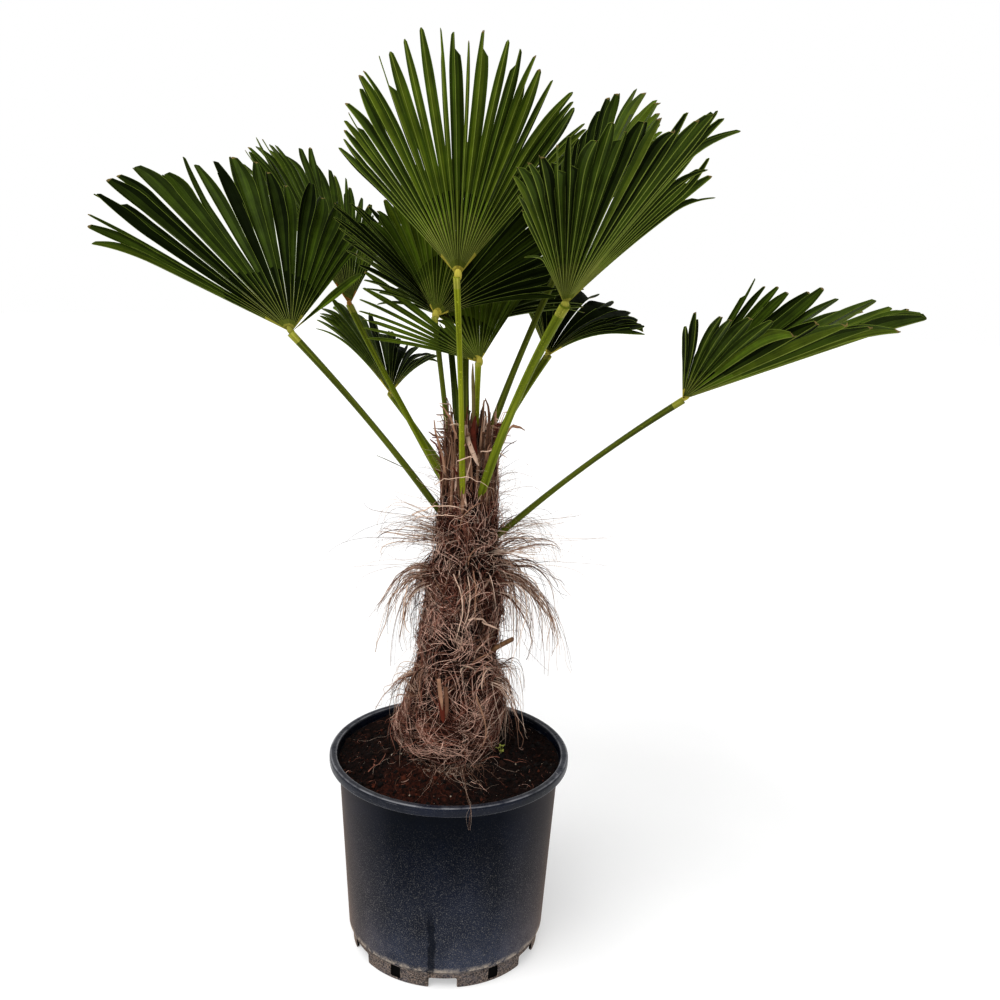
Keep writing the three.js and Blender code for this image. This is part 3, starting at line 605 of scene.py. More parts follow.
def rim_finish():
    """The rim's roll is cleaner and glossier than the wall, bluish, and scratched. A pale line
    along its crest is a painted highlight, and the pale band at its lower lip is partly wear
    and partly a painted highlight.
    """
    finish = Finish("pot_rim_scratched_highlit", 0.27, 0.26)
    height = finish.axes()[2]
    scratch_and_highlight = srgb(150, 150, 154)
    clean = finish.noise(12, 6).ramp((0.3, srgb(4, 8, 16)), (0.7, srgb(13, 21, 40)))
    grit = finish.noise(520, 3, 0.8).between(0.6, 0.66, 0.0, 0.3)
    color = finish.mix(grit, clean, srgb(110, 108, 106))
    long = finish.noise(9, 8, 0.85, finish.scaled(finish.place, 1, 1, 40))
    color = finish.mix(long.between(0.6, 0.64, 0.0, 0.55), color, scratch_and_highlight)
    # The lower lip's pale band: partly wear, partly a painted highlight.
    low = abs(height - 0.3238).between(0.0022, 0.0008)
    worn_and_highlit = low * finish.noise(50, 6, 0.8).between(0.42, 0.6, 0.0, 0.6)
    # Painted highlight: a pale line along the crest of the roll.
    crest_highlight = abs(height - 0.3392).between(0.0009, 0.0003) * finish.noise(40, 5).between(0.35, 0.6, 0.1, 0.6)
    color = finish.mix(finish.math("MAXIMUM", worn_and_highlit, crest_highlight), color, scratch_and_highlight)
    gloss = finish.noise(80).between(0.3, 0.7, 0.22, 0.36)
    return finish.done(color, (finish.noise(300, 5), 0.0003, 0.4), gloss)


def fibre_palette(kind, **colors):
    return [fibre_finish(f"{kind}_{name}", color) for name, color in colors.items()]


# Five greens, darkest first: the leaflets' own greens, also used as painted shade in the folds and over
# shaded parts of the fans, and as painted light over lit parts.
GREENS = [
    leaf_finish("leaf_green_deep", (18, 26, 6), 0.55, specular=0.008),
    leaf_finish("leaf_green_dark", (38, 50, 9), 0.5, specular=0.025),
    leaf_finish("leaf_green_middle", (57, 73, 13)),
    leaf_finish("leaf_green_olive", (77, 91, 19)),
    leaf_finish("leaf_green_light", (88, 108, 26)),
]
BLADE_MATERIALS = GREENS + [
    leaf_finish("leaf_rib_pale", (118, 130, 56), 0.5, 0.5),
    leaf_finish("leaf_edge_pale", (98, 112, 44), 0.5, 0.5),
    leaf_finish("leaf_inner_rib", (124, 130, 62), 0.5, 0.5),
    leaf_finish("leaf_neck_olive", (98, 106, 38), 0.48, 0.6),
    leaf_finish("leaf_tip_dry", (118, 104, 62), 0.6, 0.6),
    leaf_finish("leaf_hub_yellow", (178, 168, 74), 0.48, 0.6),
    leaf_finish("leaf_hub_olive", (142, 140, 60), 0.48, 0.6),
    leaf_finish("leaf_hub_tan", (168, 122, 58), 0.48, 0.6),
]
RIB, EDGE, INNER, NECK, TIP, HUB = range(len(GREENS), len(GREENS) + 6)
STALK_GREENS = [
    stalk_finish("stalk_dark_green", (50, 60, 12), (76, 88, 22)),
    stalk_finish("stalk_olive_green", (78, 86, 20), (106, 114, 38)),
    stalk_finish("stalk_bright_green", (102, 114, 20), (134, 144, 40)),
    stalk_finish("stalk_yellow_green", (122, 130, 22), (158, 164, 52)),
]
STALK_TOP = stalk_finish("stalk_top_yellow", (140, 142, 52), (170, 166, 80))
FIBRES = fibre_palette(
    "fibre", pale=(226, 188, 170), tan=(148, 100, 84), brown=(78, 41, 31), dark=(24, 11, 8))
LOOSE = fibre_palette(
    "hair", pale=(208, 184, 166), tan=(144, 112, 94), brown=(86, 56, 44), dark=(30, 18, 14))
STRIPS = fibre_palette(
    "strip", pale=(206, 178, 158), tan=(152, 118, 96), brown=(104, 74, 58), red=(92, 40, 28),
    olive=(112, 100, 62))
NEEDLE = leaf_finish("dry_needle_green", (88, 84, 40), 0.6)

# ---------------------------------------------------------------- trunk


def axis_x(height):
    share = (np.asarray(height, float) - LEAN["from"]) / (LEAN["to"] - LEAN["from"])
    left = (1 - np.clip(share, 0, 1)) ** LEAN["bend"]
    return LEAN["end"] + (LEAN["start"] - LEAN["end"]) * left


def off_trunk(height, heading, distance):
    """Points at some distance from the trunk's leaning axis, for headings in degrees."""
    points = polar(distance, np.radians(heading), height)
    points[..., 0] += axis_x(height)
    return points


def trunk_radius(height, heading):
    heights, radii = zip(*TRUNK_RINGS)
    around = np.radians(heading)
    lumps = sum(share * np.sin(times * around + np.asarray(height) / wave) for times, wave, share in LUMPS)
    return np.interp(height, heights, radii) * (1 + LUMP_SHARE * lumps)


def outward(lines):
    """The direction out of the trunk at each point of some lines."""
    away = lines.copy()
    away[..., 0] -= axis_x(lines[..., 2])
    away[..., 2] = 0
    return unit(away)


def make_trunk_core():
    """The matted inside of the fibre coat, with its own relief. Its near-black brown is partly
    the fibre's own colour and partly painted shade in the gaps between the strands.
    """
    sides, rows, inset, core_top = 120, 190, 5.0, 876
    heading = np.linspace(0, 360, sides, endpoint=False)
    height = np.linspace(TRUNK_FOOT - 6, core_top, rows)[:, None]
    radius = trunk_radius(np.maximum(height, TRUNK_FOOT), heading) - inset
    rough = off_trunk(height, heading, radius)
    radius = radius + 2.6 * ripples(rough, 26, 11) + 1.3 * ripples(rough, 7, 12)
    points = off_trunk(height, heading, np.maximum(radius, 2.0))
    middles = [points[0].mean(0), points[-1].mean(0)]
    quads, _ = ring_faces(1, rows, sides)
    here = np.arange(sides)
    after = (here + 1) % sides
    count = rows * sides
    bottom = np.stack([after, here, np.full(sides, count)], -1)
    top = np.stack([count - sides + here, count - sides + after, np.full(sides, count + 1)], -1)
    ends = np.concatenate([bottom, top])
    shape = Shape()
    shape.add(np.concatenate([points.reshape(-1, 3), middles]), (quads, 0), (ends, 0))
    # Near-black: partly the fibre's colour, partly painted shade in the gaps between the strands.
    core = earth_finish("fibre_mat_painted_shade", (9, 4, 3), (42, 23, 17), scale=160, bump=0.002)
    shape.piece("trunk_core", [core], "trunk_fibre", ["trunk"])


def wandering(rng, count, rows, low, high, length, lean, spread, base, lift, curl, locks):
    """Curling strands on the trunk's surface, that start between two heights and run in
    locks. lean is the angle that they set out at, from level round the trunk, base the depth
    that they lie at, and lift how far their middle stands off."""
    lock = rng.integers(0, locks, count)

    def shared(of_locks, stray):
        return of_locks[lock] + rng.normal(0, stray, count)

    heading = shared(rng.uniform(0, 360, locks), 5)
    height = shared(rng.uniform(low, high, locks), 6)
    angle = np.radians(lean + rng.normal(0, spread, locks))
    angle = shared(np.where(rng.random(locks) < 0.5, angle, math.pi - angle), 0.22)
    bend = shared(rng.normal(0, curl, locks), 0.35 * curl) / (rows - 1)
    step = length * rng.uniform(0.4, 1.5, count) / (rows - 1)
    depth = shared(rng.uniform(base - 1.5, base + 1.5, locks), 0.8)
    arch = rng.gamma(1.3, lift / 1.3, count)
    places = []
    for row in range(rows):
        radius = trunk_radius(np.clip(height, TRUNK_FOOT, TRUNK_TOP), heading)
        stand_off = depth + arch * math.sin(math.pi * row / (rows - 1))
        places.append(off_trunk(height, heading, radius + stand_off))
        heading = heading + np.degrees(step * np.cos(angle) / np.maximum(radius, 15))
        height = np.maximum(height + step * np.sin(angle), TRUNK_FOOT - 4)
        angle = angle + bend + shared(rng.normal(0, 0.1, locks), 0.06)
    return np.stack(places, 1), lock


def lock_paint(rng, lock, *shares):
    """Most strands of a lock take the colour that the lock has."""
    own = dealt(rng, lock.max() + 1, *shares)[lock]
    return np.where(rng.random(len(lock)) < 0.7, own, dealt(rng, len(lock), *shares))


def tapered(rows, thick, thin):
    share = np.linspace(0, 1, rows)
    return thin + (thick - thin) * np.sin(math.pi * np.minimum(share + 0.15, 1)) ** 0.5


def thinning(thick, thin, rows, factors):
    return np.linspace(thick, thin, rows) * factors[:, None]


def make_trunk_fibre():
    """Thousands of crossing strands over the trunk: a dark layer, and a paler one on it. The
    lower layer's near-black is partly the coat's darker fibre and partly painted shade in the
    gaps under the paler strands.
    """
    for index, (name, zone) in enumerate(FIBRE_ZONES.items()):
        rng = np.random.default_rng(40 + index)
        low, high, count, length, lean, spread, base, lift, curl, radius, colors = zone
        some = count // 2
        shape = Shape()
        # The lower layer is mostly near-black and dark brown: partly the coat's darker fibre, partly painted
        # shade in the gaps.
        for depth, rise, shares in ((-3, 0.4, (0.0, 0.06, 0.36, 0.58)), (0, 1.0, colors)):
            lines, lock = wandering(rng, some, 10, low, high, length, lean, spread, base + depth,
                                    lift * rise, curl, some // 8)
            radii = tapered(10, radius, 0.2) * rng.uniform(0.6, 1.3, some)[:, None]
            hairs(shape, lines, radii, outward(lines), lock_paint(rng, lock, *shares))
        shape.piece(f"trunk_fibre_{name}", FIBRES, "trunk_fibre")


def make_fringes():
    """Hanging hair round each tier of the coat, that shades the tier beneath."""
    rng = np.random.default_rng(46)
    shape = Shape()
    for height, count, reach, fall in FRINGES:
        even, stray = draws(rng, count)
        lock = rng.integers(0, count // 7, count)
        around = rng.uniform(0, 360, count // 7)[lock]
        lines = bowed(
            stray(height, 7), stray(around, 4), reach * rng.gamma(2.0, 0.5, count),
            fall * even(0.2, 1.3), even(0, 9), stray(0, 16), even(0, TURN), rows=9)
        radii = thinning(0.7, 0.25, 9, even(0.6, 1.3))
        hairs(shape, lines, radii, outward(lines), lock_paint(rng, lock, 0.3, 0.32, 0.26, 0.12))
    shape.piece("trunk_fringes", FIBRES, "trunk_fibre")


def make_straps():
    """Broader loose straps that cross the coat, some at random and some where they show."""
    rng = np.random.default_rng(22)
    shape = Shape()
    count, rows = 90, 14
    lines, _ = wandering(rng, count, rows, 450, 740, 60, 60, 35, 1, 4.0, 1.8, 60)
    widths = tapered(rows, 1.1, 0.3) * rng.uniform(0.5, 1.2, count)[:, None]
    ribbons(shape, lines, widths, outward(lines), 0.35, dealt(rng, count, 0.4, 0.4, 0.2))
    add_straps(shape, STRAPS)
    shape.piece("trunk_straps", STRIPS, "trunk_fibre")


def along_stops(stops, places):
    """Points on straight lines from stop to stop. Whole numbers among the places are stops."""
    return np.stack([np.interp(places, range(len(stops)), values) for values in np.transpose(stops)], -1)


def smooth_path(stops, rows):
    path = along_stops(stops, np.linspace(0, len(stops) - 1, rows))
    for _ in range(3):
        path[1:-1] = (path[:-2] + 2 * path[1:-1] + path[2:]) / 4
    return path


def add_straps(shape, straps, rows=15):
    for paint, half_width, *stops in straps:
        line = smooth_path(stops, rows)
        line[:, 2] += 2.2 * ripples(line, 16, 77)
        widths = half_width * np.clip(1.15 - np.linspace(0, 1, rows) ** 3, 0.2, 1)
        ribbons(shape, line[None], widths[None], outward(line)[None], 0.35, paint)


def make_locks():
    """The drooping locks: their hairs keep together near the trunk and stray further out."""
    rng = np.random.default_rng(25)
    shape = Shape()
    rows = 19
    for count, spread, *stops in LOCKS:
        count = int(0.7 * count)
        even, _ = draws(rng, (count, 1))
        _, stray = draws(rng, (count, 1, 3))
        path = smooth_path(stops, rows)
        share = np.linspace(0, 1, rows) * even(0.5, 1.0)
        lines = along_stops(path, share * (rows - 1))
        lines = lines + stray(0, spread) * (0.4 + 0.9 * share[..., None])
        for pace, sway in ((7, 0.9), (17, 0.35)):
            wave = np.sin(share * even(pace, 2 * pace) + even(0, TURN))
            lines = lines + stray(0, sway * spread) * (wave * share)[..., None]
        radii = np.linspace(0.75, 0.24, rows) * even(0.5, 1.25)
        paint = dealt(rng, count, 0.42, 0.4, 0.18, 0)
        flat = np.arange(count) % 3 == 0
        facing = unit(stray())
        hairs(shape, lines[~flat], radii[~flat], facing[~flat], paint[~flat])
        ribbons(shape, lines[flat], 1.7 * radii[flat], facing[flat], 0.2, paint[flat])
    shape.piece("trunk_locks", LOOSE, "loose_fibre")


def bowed(height, heading, reach, fall, rise, curl, phase, rows=13):
    """Hairs that leave the trunk with a rise and bend down under their weight. Each of the
    numbers is an array with one for each hair."""
    share = np.linspace(0, 1, rows)
    height, heading, reach, fall, rise, curl, phase = (
        value[:, None] for value in (height, heading, reach, fall, rise, curl, phase))
    start = trunk_radius(np.clip(height, TRUNK_FOOT, TRUNK_TOP), heading) - 5
    wave = curl * np.sin(share * (3 + 2 * np.sin(phase * 7)) + phase) * share
    lines = off_trunk(height, heading + wave, start + reach * np.sin(share * math.pi / 2))
    lines[..., 2] += rise * np.sin(share * math.pi) - fall * share * share
    lines[..., 2] += 0.16 * curl * np.sin(share * (7 + 3 * np.cos(phase * 5)) + phase * 3) * share
    return lines


def make_tufts():
    """Loose hair in tufts, where the solids have a few thick strands. The hairs hang in
    locks, each lock on a path of its own, with flat straps among them."""
    locks = 14
    for index, (name, (height, heading, reach, fall, rise, fanned, count)) in enumerate(TUFTS.items()):
        rng = np.random.default_rng(300 + index)
        even, stray = draws(rng, locks)
        paths = [
            stray(height, 12), heading + even(-0.5, 0.5) * fanned * 1.1, reach * even(0.35, 1.0),
            fall * even(0.2, 1.0), rise * even(0, 2.0), stray(0, 16), even(0, TURN)]
        shape = Shape()
        for some, flat in ((int(count * 0.7), False), (int(count * 0.3), True)):
            even, stray = draws(rng, some)
            lock = rng.integers(0, locks, some)
            high, way, far, drop, up, curl, phase = (path[lock] for path in paths)
            lines = bowed(
                high + stray(0, 4), way + stray(0, 4), np.minimum(far * stray(1, 0.12), reach),
                drop * stray(1, 0.15), up, curl + stray(0, 6), phase + stray(0, 0.4))
            facing = unit(outward(lines) + rng.normal(0, 0.4, (some, 1, 3)))
            if flat:
                widths = thinning(1.2, 0.25, 13, even(0.5, 1.2))
                ribbons(shape, lines, widths, facing, 0.2, dealt(rng, some, 0.3, 0.4, 0.25, 0.05))
            else:
                radii = thinning(0.5, 0.14, 13, even(0.6, 1.3))
                hairs(shape, lines, radii, facing, dealt(rng, some, 0.25, 0.38, 0.27, 0.1))
        shape.piece(f"{name}_hair", LOOSE, "loose_fibre", [name])


def add_flying(shape, rng, lines, thick, thin):
    count = len(lines)
    radii = thinning(thick, thin, 13, rng.uniform(0.6, 1.3, count))
    facing = unit(rng.normal(size=(count, 1, 3)))
    hairs(shape, lines, radii, facing, dealt(rng, count, 0.4, 0.4, 0.2, 0))


def make_flying_hair():
    """Fine hair that stands off the coat on all sides, most of it below the stalks."""
    rng = np.random.default_rng(23)
    shape = Shape()
    for low, high, count, reach, fall, rise in FLYING_ZONES:
        even, stray = draws(rng, count)
        lines = bowed(
            even(low, high), even(0, 360), reach * np.minimum(rng.gamma(2.2, 0.36, count), 1.9),
            fall * even(0, 1.6), rise * even(-0.4, 1.6), stray(0, 22), even(0, TURN))
        lines[..., 2] = np.maximum(lines[..., 2], soil_height(lines) + 0.4)
        add_flying(shape, rng, lines, 0.34, 0.1)
    even, stray = draws(rng, 6)
    for height, heading, reach, fall, rise in FLYING_LOCKS:
        lines = bowed(
            stray(height, 6), stray(heading, 7), reach * even(0.6, 1.0), stray(fall, 12),
            stray(rise, 6), stray(0, 9), even(0, TURN))
        add_flying(shape, rng, lines, 0.42, 0.14)
    shape.piece("flying_hair", LOOSE, "loose_fibre")


def add_tall_strips(shape, rng, share):
    count = 250
    even, stray = draws(rng, (count, 1))
    _, askew = draws(rng, (count, 1, 3))
    low = even(752, 838)
    top = stray(876, 18)
    height = np.minimum(low + even(50, 150) * share, top)
    out = np.interp(height, [690, 760, 850, 950], [45, 42, 36, 31]) + even(-6, 4)
    out = out + even(-6, 9) * share + even(-4, 26) * share ** 5
    drift = stray(0, 11) * share + even(0, 6) * np.sin(share * 5 + even(0, 6))
    lines = off_trunk(height, even(0, 360) + drift, out)
    widths = even(0.9, 4.8) * (1.08 - share) ** 0.8 * np.minimum(1, 0.3 + 5 * share)
    facing = unit(outward(lines) + askew(0, 0.5) + askew(0, 0.5) * share[:, None])
    ribbons(shape, lines, widths, facing, 0.4, dealt(rng, count, 0.12, 0.36, 0.38, 0.14))


def add_short_strips(shape, rng, share):
    """They close the crown between the stalks."""
    count = 60
    even, _ = draws(rng, (count, 1))
    _, askew = draws(rng, (count, 1, 3))
    height = even(830, 850) + even(20, 56) * share
    lines = off_trunk(height, even(0, 360), even(2, 27)) + askew(0, 3) * share[:, None]
    lines[..., 2] = np.minimum(lines[..., 2], 915)
    widths = even(1.5, 4.0) * (1.1 - share) ** 0.7
    facing = unit(askew() * [1, 1, 0.05])
    paint = rng.choice([TAN, BROWN, RED], count, p=(0.3, 0.5, 0.2))
    ribbons(shape, lines, widths, facing, 0.4, paint)


def add_crown_fibres(shape, rng, share):
    count = 650
    even, stray = draws(rng, (count, 1))
    height = np.minimum(even(670, 840) + even(30, 100) * share, stray(880, 20))
    out = np.interp(height, [670, 704, 760, 850, 950], [44, 48, 42, 35, 30])
    out = out + even(-9, 1) + rng.gamma(1.2, 5, (count, 1)) * share ** 2
    drift = stray(0, 16) * share + even(0, 9) * np.sin(share * 6 + even(0, 6))
    lines = off_trunk(height, even(0, 360) + drift, out)
    radii = np.linspace(0.7, 0.2, len(share)) * even(0.5, 1.1)
    hairs(shape, lines, radii, outward(lines), dealt(rng, count, 0.24, 0.36, 0.26, 0.14))


def make_crown():
    """Dry strips and long fibres of old leaf bases, upright round the stalks' roots."""
    rng = np.random.default_rng(24)
    share = np.linspace(0, 1, 12)
    strips, fibres = Shape(), Shape()
    add_tall_strips(strips, rng, share)
    add_straps(strips, CROWN_STRAPS)
    add_short_strips(strips, rng, share)
    add_crown_fibres(fibres, rng, share)
    strips.piece("crown_strips", STRIPS, "trunk_fibre")
    fibres.piece("crown_fibres", FIBRES, "trunk_fibre")


def make_needle():
    """A dry scrap of leaf, caught on the hair beside the leftmost stalk."""
    shape = Shape()
    line = [(-123, 20, 826), (-110, 19, 821), (-95, 16, 815), (-82, 16, 809), (-70, 24, 800)]
    widths = np.array([0.2, 0.9, 1.3, 1.1, 0.5])
    ribbons(shape, np.array([line], float), widths[None], UP, 0.3)
    shape.grain.append(np.zeros((shape.count, 2)))
    shape.piece("dry_leaf_scrap", [NEEDLE], "loose_fibre")


# ---------------------------------------------------------------- fronds

# How the rows of a leaflet lie along it, from the hub to the tip.
ROWS = np.array([
    0.0, 0.025, 0.05, 0.08, 0.12, 0.18, 0.25, 0.33, 0.41, 0.48, 0.54, 0.6, 0.66, 0.72, 0.77,
    0.82, 0.86, 0.895, 0.925, 0.95, 0.972, 0.988, 1.0,
])
LEAF_HALF = 0.28
STALK_ROWS = 43


def stalk_line(frond):
    steps = STALK_ROWS - 1
    rise = frond["rise"] - frond["sag"] * (np.arange(steps) + 0.5) / steps
    start = off_trunk(frond["root"], frond["start"], frond["out"])
    way = direction(frond["heading"], rise) * frond["stalk"] / steps
    return np.concatenate([[start], start + np.cumsum(way, 0)])


def fan_frame(frond):
    middle = direction(frond["heading"] + frond["turn"], frond["pitch"])
    level_side = unit(np.cross(middle, UP))
    level_top = np.cross(level_side, middle)
    roll = math.radians(frond["roll"])
    top = math.cos(roll) * level_top + math.sin(roll) * level_side
    return middle, np.cross(middle, top), top


def leaflet_way(frond, axes, across):
    middle, side, top = axes
    spread = math.radians(frond["spread"])
    angle = across * spread + math.radians(frond["skew"])
    fold = math.radians(frond["cup"]) * np.minimum(1, np.abs(angle) / spread)
    return (np.cos(angle)[..., None] * middle + (np.sin(angle) * np.cos(fold))[..., None] * side
            + (np.abs(np.sin(angle)) * np.sin(fold))[..., None] * top)


def fan_points(frond, axes, hub, across, along, sideways=0, up=0):
    """Places on the fan, and its normal there: along is the share of the leaflet's length,
    sideways and up are off its rib."""
    across, along, sideways, up = np.broadcast_arrays(
        *(np.asarray(value, float) for value in (across, along, sideways, up)))
    way = leaflet_way(frond, axes, across)
    crosswise = unit(leaflet_way(frond, axes, across + 0.01) - way)
    normal = unit(np.cross(crosswise, way))
    length = frond["reach"] * (1 - frond["loss"] * np.abs(across) ** frond["round"])
    points = hub + way * (length * along)[..., None]
    points = points + crosswise * sideways[..., None] + normal * up[..., None]
    points[..., 2] -= frond["droop"] * frond["reach"] * (0.5 + np.abs(across)) * along * along
    return points, normal


def told(stops, places):
    """What a table of places across the fan says at some places."""
    return np.interp(places, list(stops), list(stops.values()))


def free_width(along, free, shorter):
    """How wide the free half of a leaflet is, from its split to its blunt tip. One half
    may end in a step, shorter than the other."""
    taper = np.clip((along - 0.8) / 0.2, 0, 1)
    width = (1 + 0.12 * np.sin(math.pi * np.minimum(free / 0.9, 1))) * (1 - 0.64 * taper ** 2.0)
    return np.where(along > 1 - shorter, np.minimum(width, 0.12), width)


def leaflet_paint(rng, frond, place, reach, along, green, size):
    """The faces round a leaflet are 8 on its upper side, 1 at an edge, 8 below and 1 at the
    other edge. Its rib is in the middle of each side, and its colour changes by the hub.
    Faces part way to its borders are painted a green darker as shade on the folds. Near the
    hub, where the folds are deep, faces in their valleys are painted the darkest green as
    shade, and those beside the rib below a green lighter as a highlight on its ridge."""
    paint = np.full((len(along), size), green)
    deep = along < 0.3 * reach
    # Painted shade: faces part way to the borders take a green one step darker.
    paint[:, [1, 6, 10, 15]] = max(green - 1, 0)
    # Painted shade in the deep folds' valleys near the hub, and a painted highlight on the ridge beside the
    # rib below.
    paint[np.ix_(deep, (2, 5, 10, 15))] = 0
    paint[np.ix_(deep, (11, 14))] = min(green + 1, len(GREENS) - 1)
    paint[:, [0, 7, 8, 9, 16, 17]] = EDGE
    paint[:, [12, 13]] = RIB
    paint[np.ix_(along < 0.22, (0, 7, 8, 9, 12, 13, 16, 17))] = INNER
    paint[along < 0.05] = NECK
    paint[along < (0.1 if abs(place) > 0.86 else 0.036)] = HUB + frond["hub"]
    paint[along > rng.uniform(0.975, 1.0)] = TIP
    return paint


def leaflet_halves(rng, frond, on_fan, place, edges, splits, reach, along):
    """For each half of a leaflet: its sign and edge, and how free, wide and high it is at
    each row."""
    fold = rng.uniform(0.5, 1.0)
    middle, _ = on_fan(place, along)
    halves = []
    for sign, edge, split in zip((-1, 1), edges, splits):
        split = min(split, 0.75 * reach)
        slot = np.linalg.norm(on_fan(edge, along)[0] - middle, axis=-1)
        free = np.clip((along - split) / (reach - split), 0, 1)
        ragged = rng.random() < 0.14
        shorter = rng.uniform(0.04, 0.2) if ragged else rng.uniform(0, 0.008)
        loose = np.minimum(np.interp(split, along, slot) * frond["wide"], slot)
        loose = loose * 0.96 * free_width(along / reach, free, shorter)
        half = np.where(along <= split, slot, loose)
        pleat = np.interp(along, [0, 0.2 * reach, split, split + 0.25 * reach], [1.3, 1.25, 0.95, fold])
        halves.append((sign, edge, free, half, half * pleat))
    return halves


def half_columns(rib, border, normal, half):
    """Columns of points from a leaflet's border to beside its rib, and their distances."""
    edge_band = np.clip(0.45 / np.maximum(half, 0.1), 0.05, 0.3)
    rib_band = np.clip(0.5 / np.maximum(half, 0.1), 0.05, 0.3)
    for share in (np.ones(len(half)), 1 - edge_band, np.full(len(half), 0.5), rib_band):
        bulge = 0.07 * half * 4 * share * (1 - share)
        yield rib + (border - rib) * share[:, None] + normal * bulge[:, None], half * share


def leaflet_rings(upper, normal):
    """Rings round a leaflet: its upper side, and below it the same with a ridge at the rib."""
    ridge = np.zeros(upper.shape[1])
    ridge[len(ridge) // 2] = 0.4
    top = upper + normal[:, None] * LEAF_HALF
    bottom = upper - normal[:, None] * (LEAF_HALF + ridge[:, None])
    return np.concatenate([top, bottom[:, ::-1]], 1)


def make_leaflet(shape, rng, frond, on_fan, place, edges, splits, green):
    """One leaflet, as a thin closed shell folded in a V along its rib. edges are its
    borders across the fan, and splits how far each is joined to its neighbour."""
    length = frond["reach"]
    start = FAN["hub_start"] / length
    reach = told(frond["lengths"], place)
    along = start + (reach - start) * ROWS
    longer = 1 - abs(rng.normal(0, 0.022))
    lean, lift, twist = rng.normal(0, 1, 3)
    halves = leaflet_halves(rng, frond, on_fan, place, edges, splits, reach, along)
    free = (halves[0][2] + halves[1][2]) / 2
    stretched = along + (longer - 1) * free ** 2
    bend_side = lean * length * 0.012 * free ** 2
    bend_up = lift * length * 0.022 * free ** 2
    turn = np.radians(twist * 11) * free
    rib, normal = on_fan(place, stretched, bend_side, bend_up)
    columns = []
    for sign, edge, free_side, half, up in halves:
        offset = sign * half
        loose, _ = on_fan(
            place, stretched, bend_side + offset * np.cos(turn) - up * np.sin(turn),
            bend_up + offset * np.sin(turn) + up * np.cos(turn))
        border = np.where((free_side > 0)[:, None], loose, on_fan(edge, along, 0, up)[0])
        columns += [(points, sign * far) for points, far in half_columns(rib, border, normal, half)]
    rib = rib.copy()
    rib[-1] -= unit(rib[-1] - rib[-2]) * rng.uniform(0.004, 0.016) * length
    columns = columns[:4] + [(rib, 0 * along)] + columns[4:][::-1]
    upper, across = (np.stack(values, 1) for values in zip(*columns))
    rings = leaflet_rings(upper, normal)
    rows, size, _ = rings.shape
    grain = np.stack([np.concatenate([across, across[:, ::-1]], 1) + rng.uniform(0, 4000),
                      np.broadcast_to((along * length)[:, None], (rows, size))], -1)
    quads = np.roll(ring_faces(1, rows, size)[0][:, ::-1], 1, 1)
    paint = leaflet_paint(rng, frond, place, reach, along[:-1], green, size)
    low = np.arange(len(columns) - 1)
    start_cap = np.stack([low, low + 1, size - 2 - low, size - 1 - low], -1)
    end_cap = start_cap[:, ::-1] + (rows - 1) * size
    shape.add(rings, (quads, paint.ravel()), (start_cap, HUB), (end_cap, TIP), grain=grain)


def make_blade(number, frond):
    rng = np.random.default_rng(500 + number)
    axes = fan_frame(frond)
    hub = stalk_line(frond)[-1]
    on_fan = partial(fan_points, frond, axes, hub)
    count = frond["leaflets"]
    even = np.linspace(-1, 1, count + 1)
    jitter = rng.normal(0, 0.14, count + 1) * (2 / count)
    jitter[[0, -1]] = 0
    even = even + jitter
    borders = (1 - FAN["crowding"]) * even + FAN["crowding"] * np.sin(even * math.pi / 2)
    joined = told(frond["joins"], borders) + rng.normal(0, 0.03, count + 1)
    joined[rng.random(count + 1) < 0.1] += 0.1
    for gap in frond["gaps"]:
        joined[np.abs(borders - gap).argmin()] = 0.2
    joined = np.clip(joined, 0.15, 0.9)
    places = (borders[:-1] + borders[1:]) / 2
    # Each leaflet's green comes from the fan's tones, which are partly painted shade and light, with a
    # random spread.
    tones = told(frond["tones"], places) + rng.normal(0, 0.45, count)
    greens = np.clip(np.round(tones), 0, len(GREENS) - 1).astype(int)
    shape = Shape()
    for i in range(count):
        make_leaflet(shape, rng, frond, on_fan, places[i], borders[i:i + 2], joined[i:i + 2], greens[i])
    if "extra" in frond:
        place, reach, green = frond["extra"]
        apart = {**frond, "lengths": {-2: reach, 2: reach}}
        make_leaflet(shape, rng, apart, on_fan, place, (place - 0.045, place + 0.045), (0.3, 0.3), green)
    add_knob(shape, hub, axes, HUB + frond["hub"])
    shape.piece(f"fan_{number:02d}", BLADE_MATERIALS, "blade", [f"frond_{number:02d}_blade"])


def add_knob(shape, hub, axes, paint):
    """The swollen hub that the leaflets spring from."""
    middle, side, top = axes
    rings, sides = 9, 16
    slope = math.pi * (np.arange(rings) + 0.5) / rings
    around = circle(sides)
    length = -np.cos(slope)[:, None] * 9 + 2
    girth = np.sin(slope)[:, None]
    points = (hub + length[..., None] * middle + (girth * np.cos(around) * 5.6)[..., None] * side
              + (girth * np.sin(around) * 3.4)[..., None] * top)
    grain = np.stack(np.broadcast_arrays(around * 5, length), -1)
    quads, ends = ring_faces(1, rings, sides)
    shape.add(points, (quads, paint), (ends, paint), grain=grain)


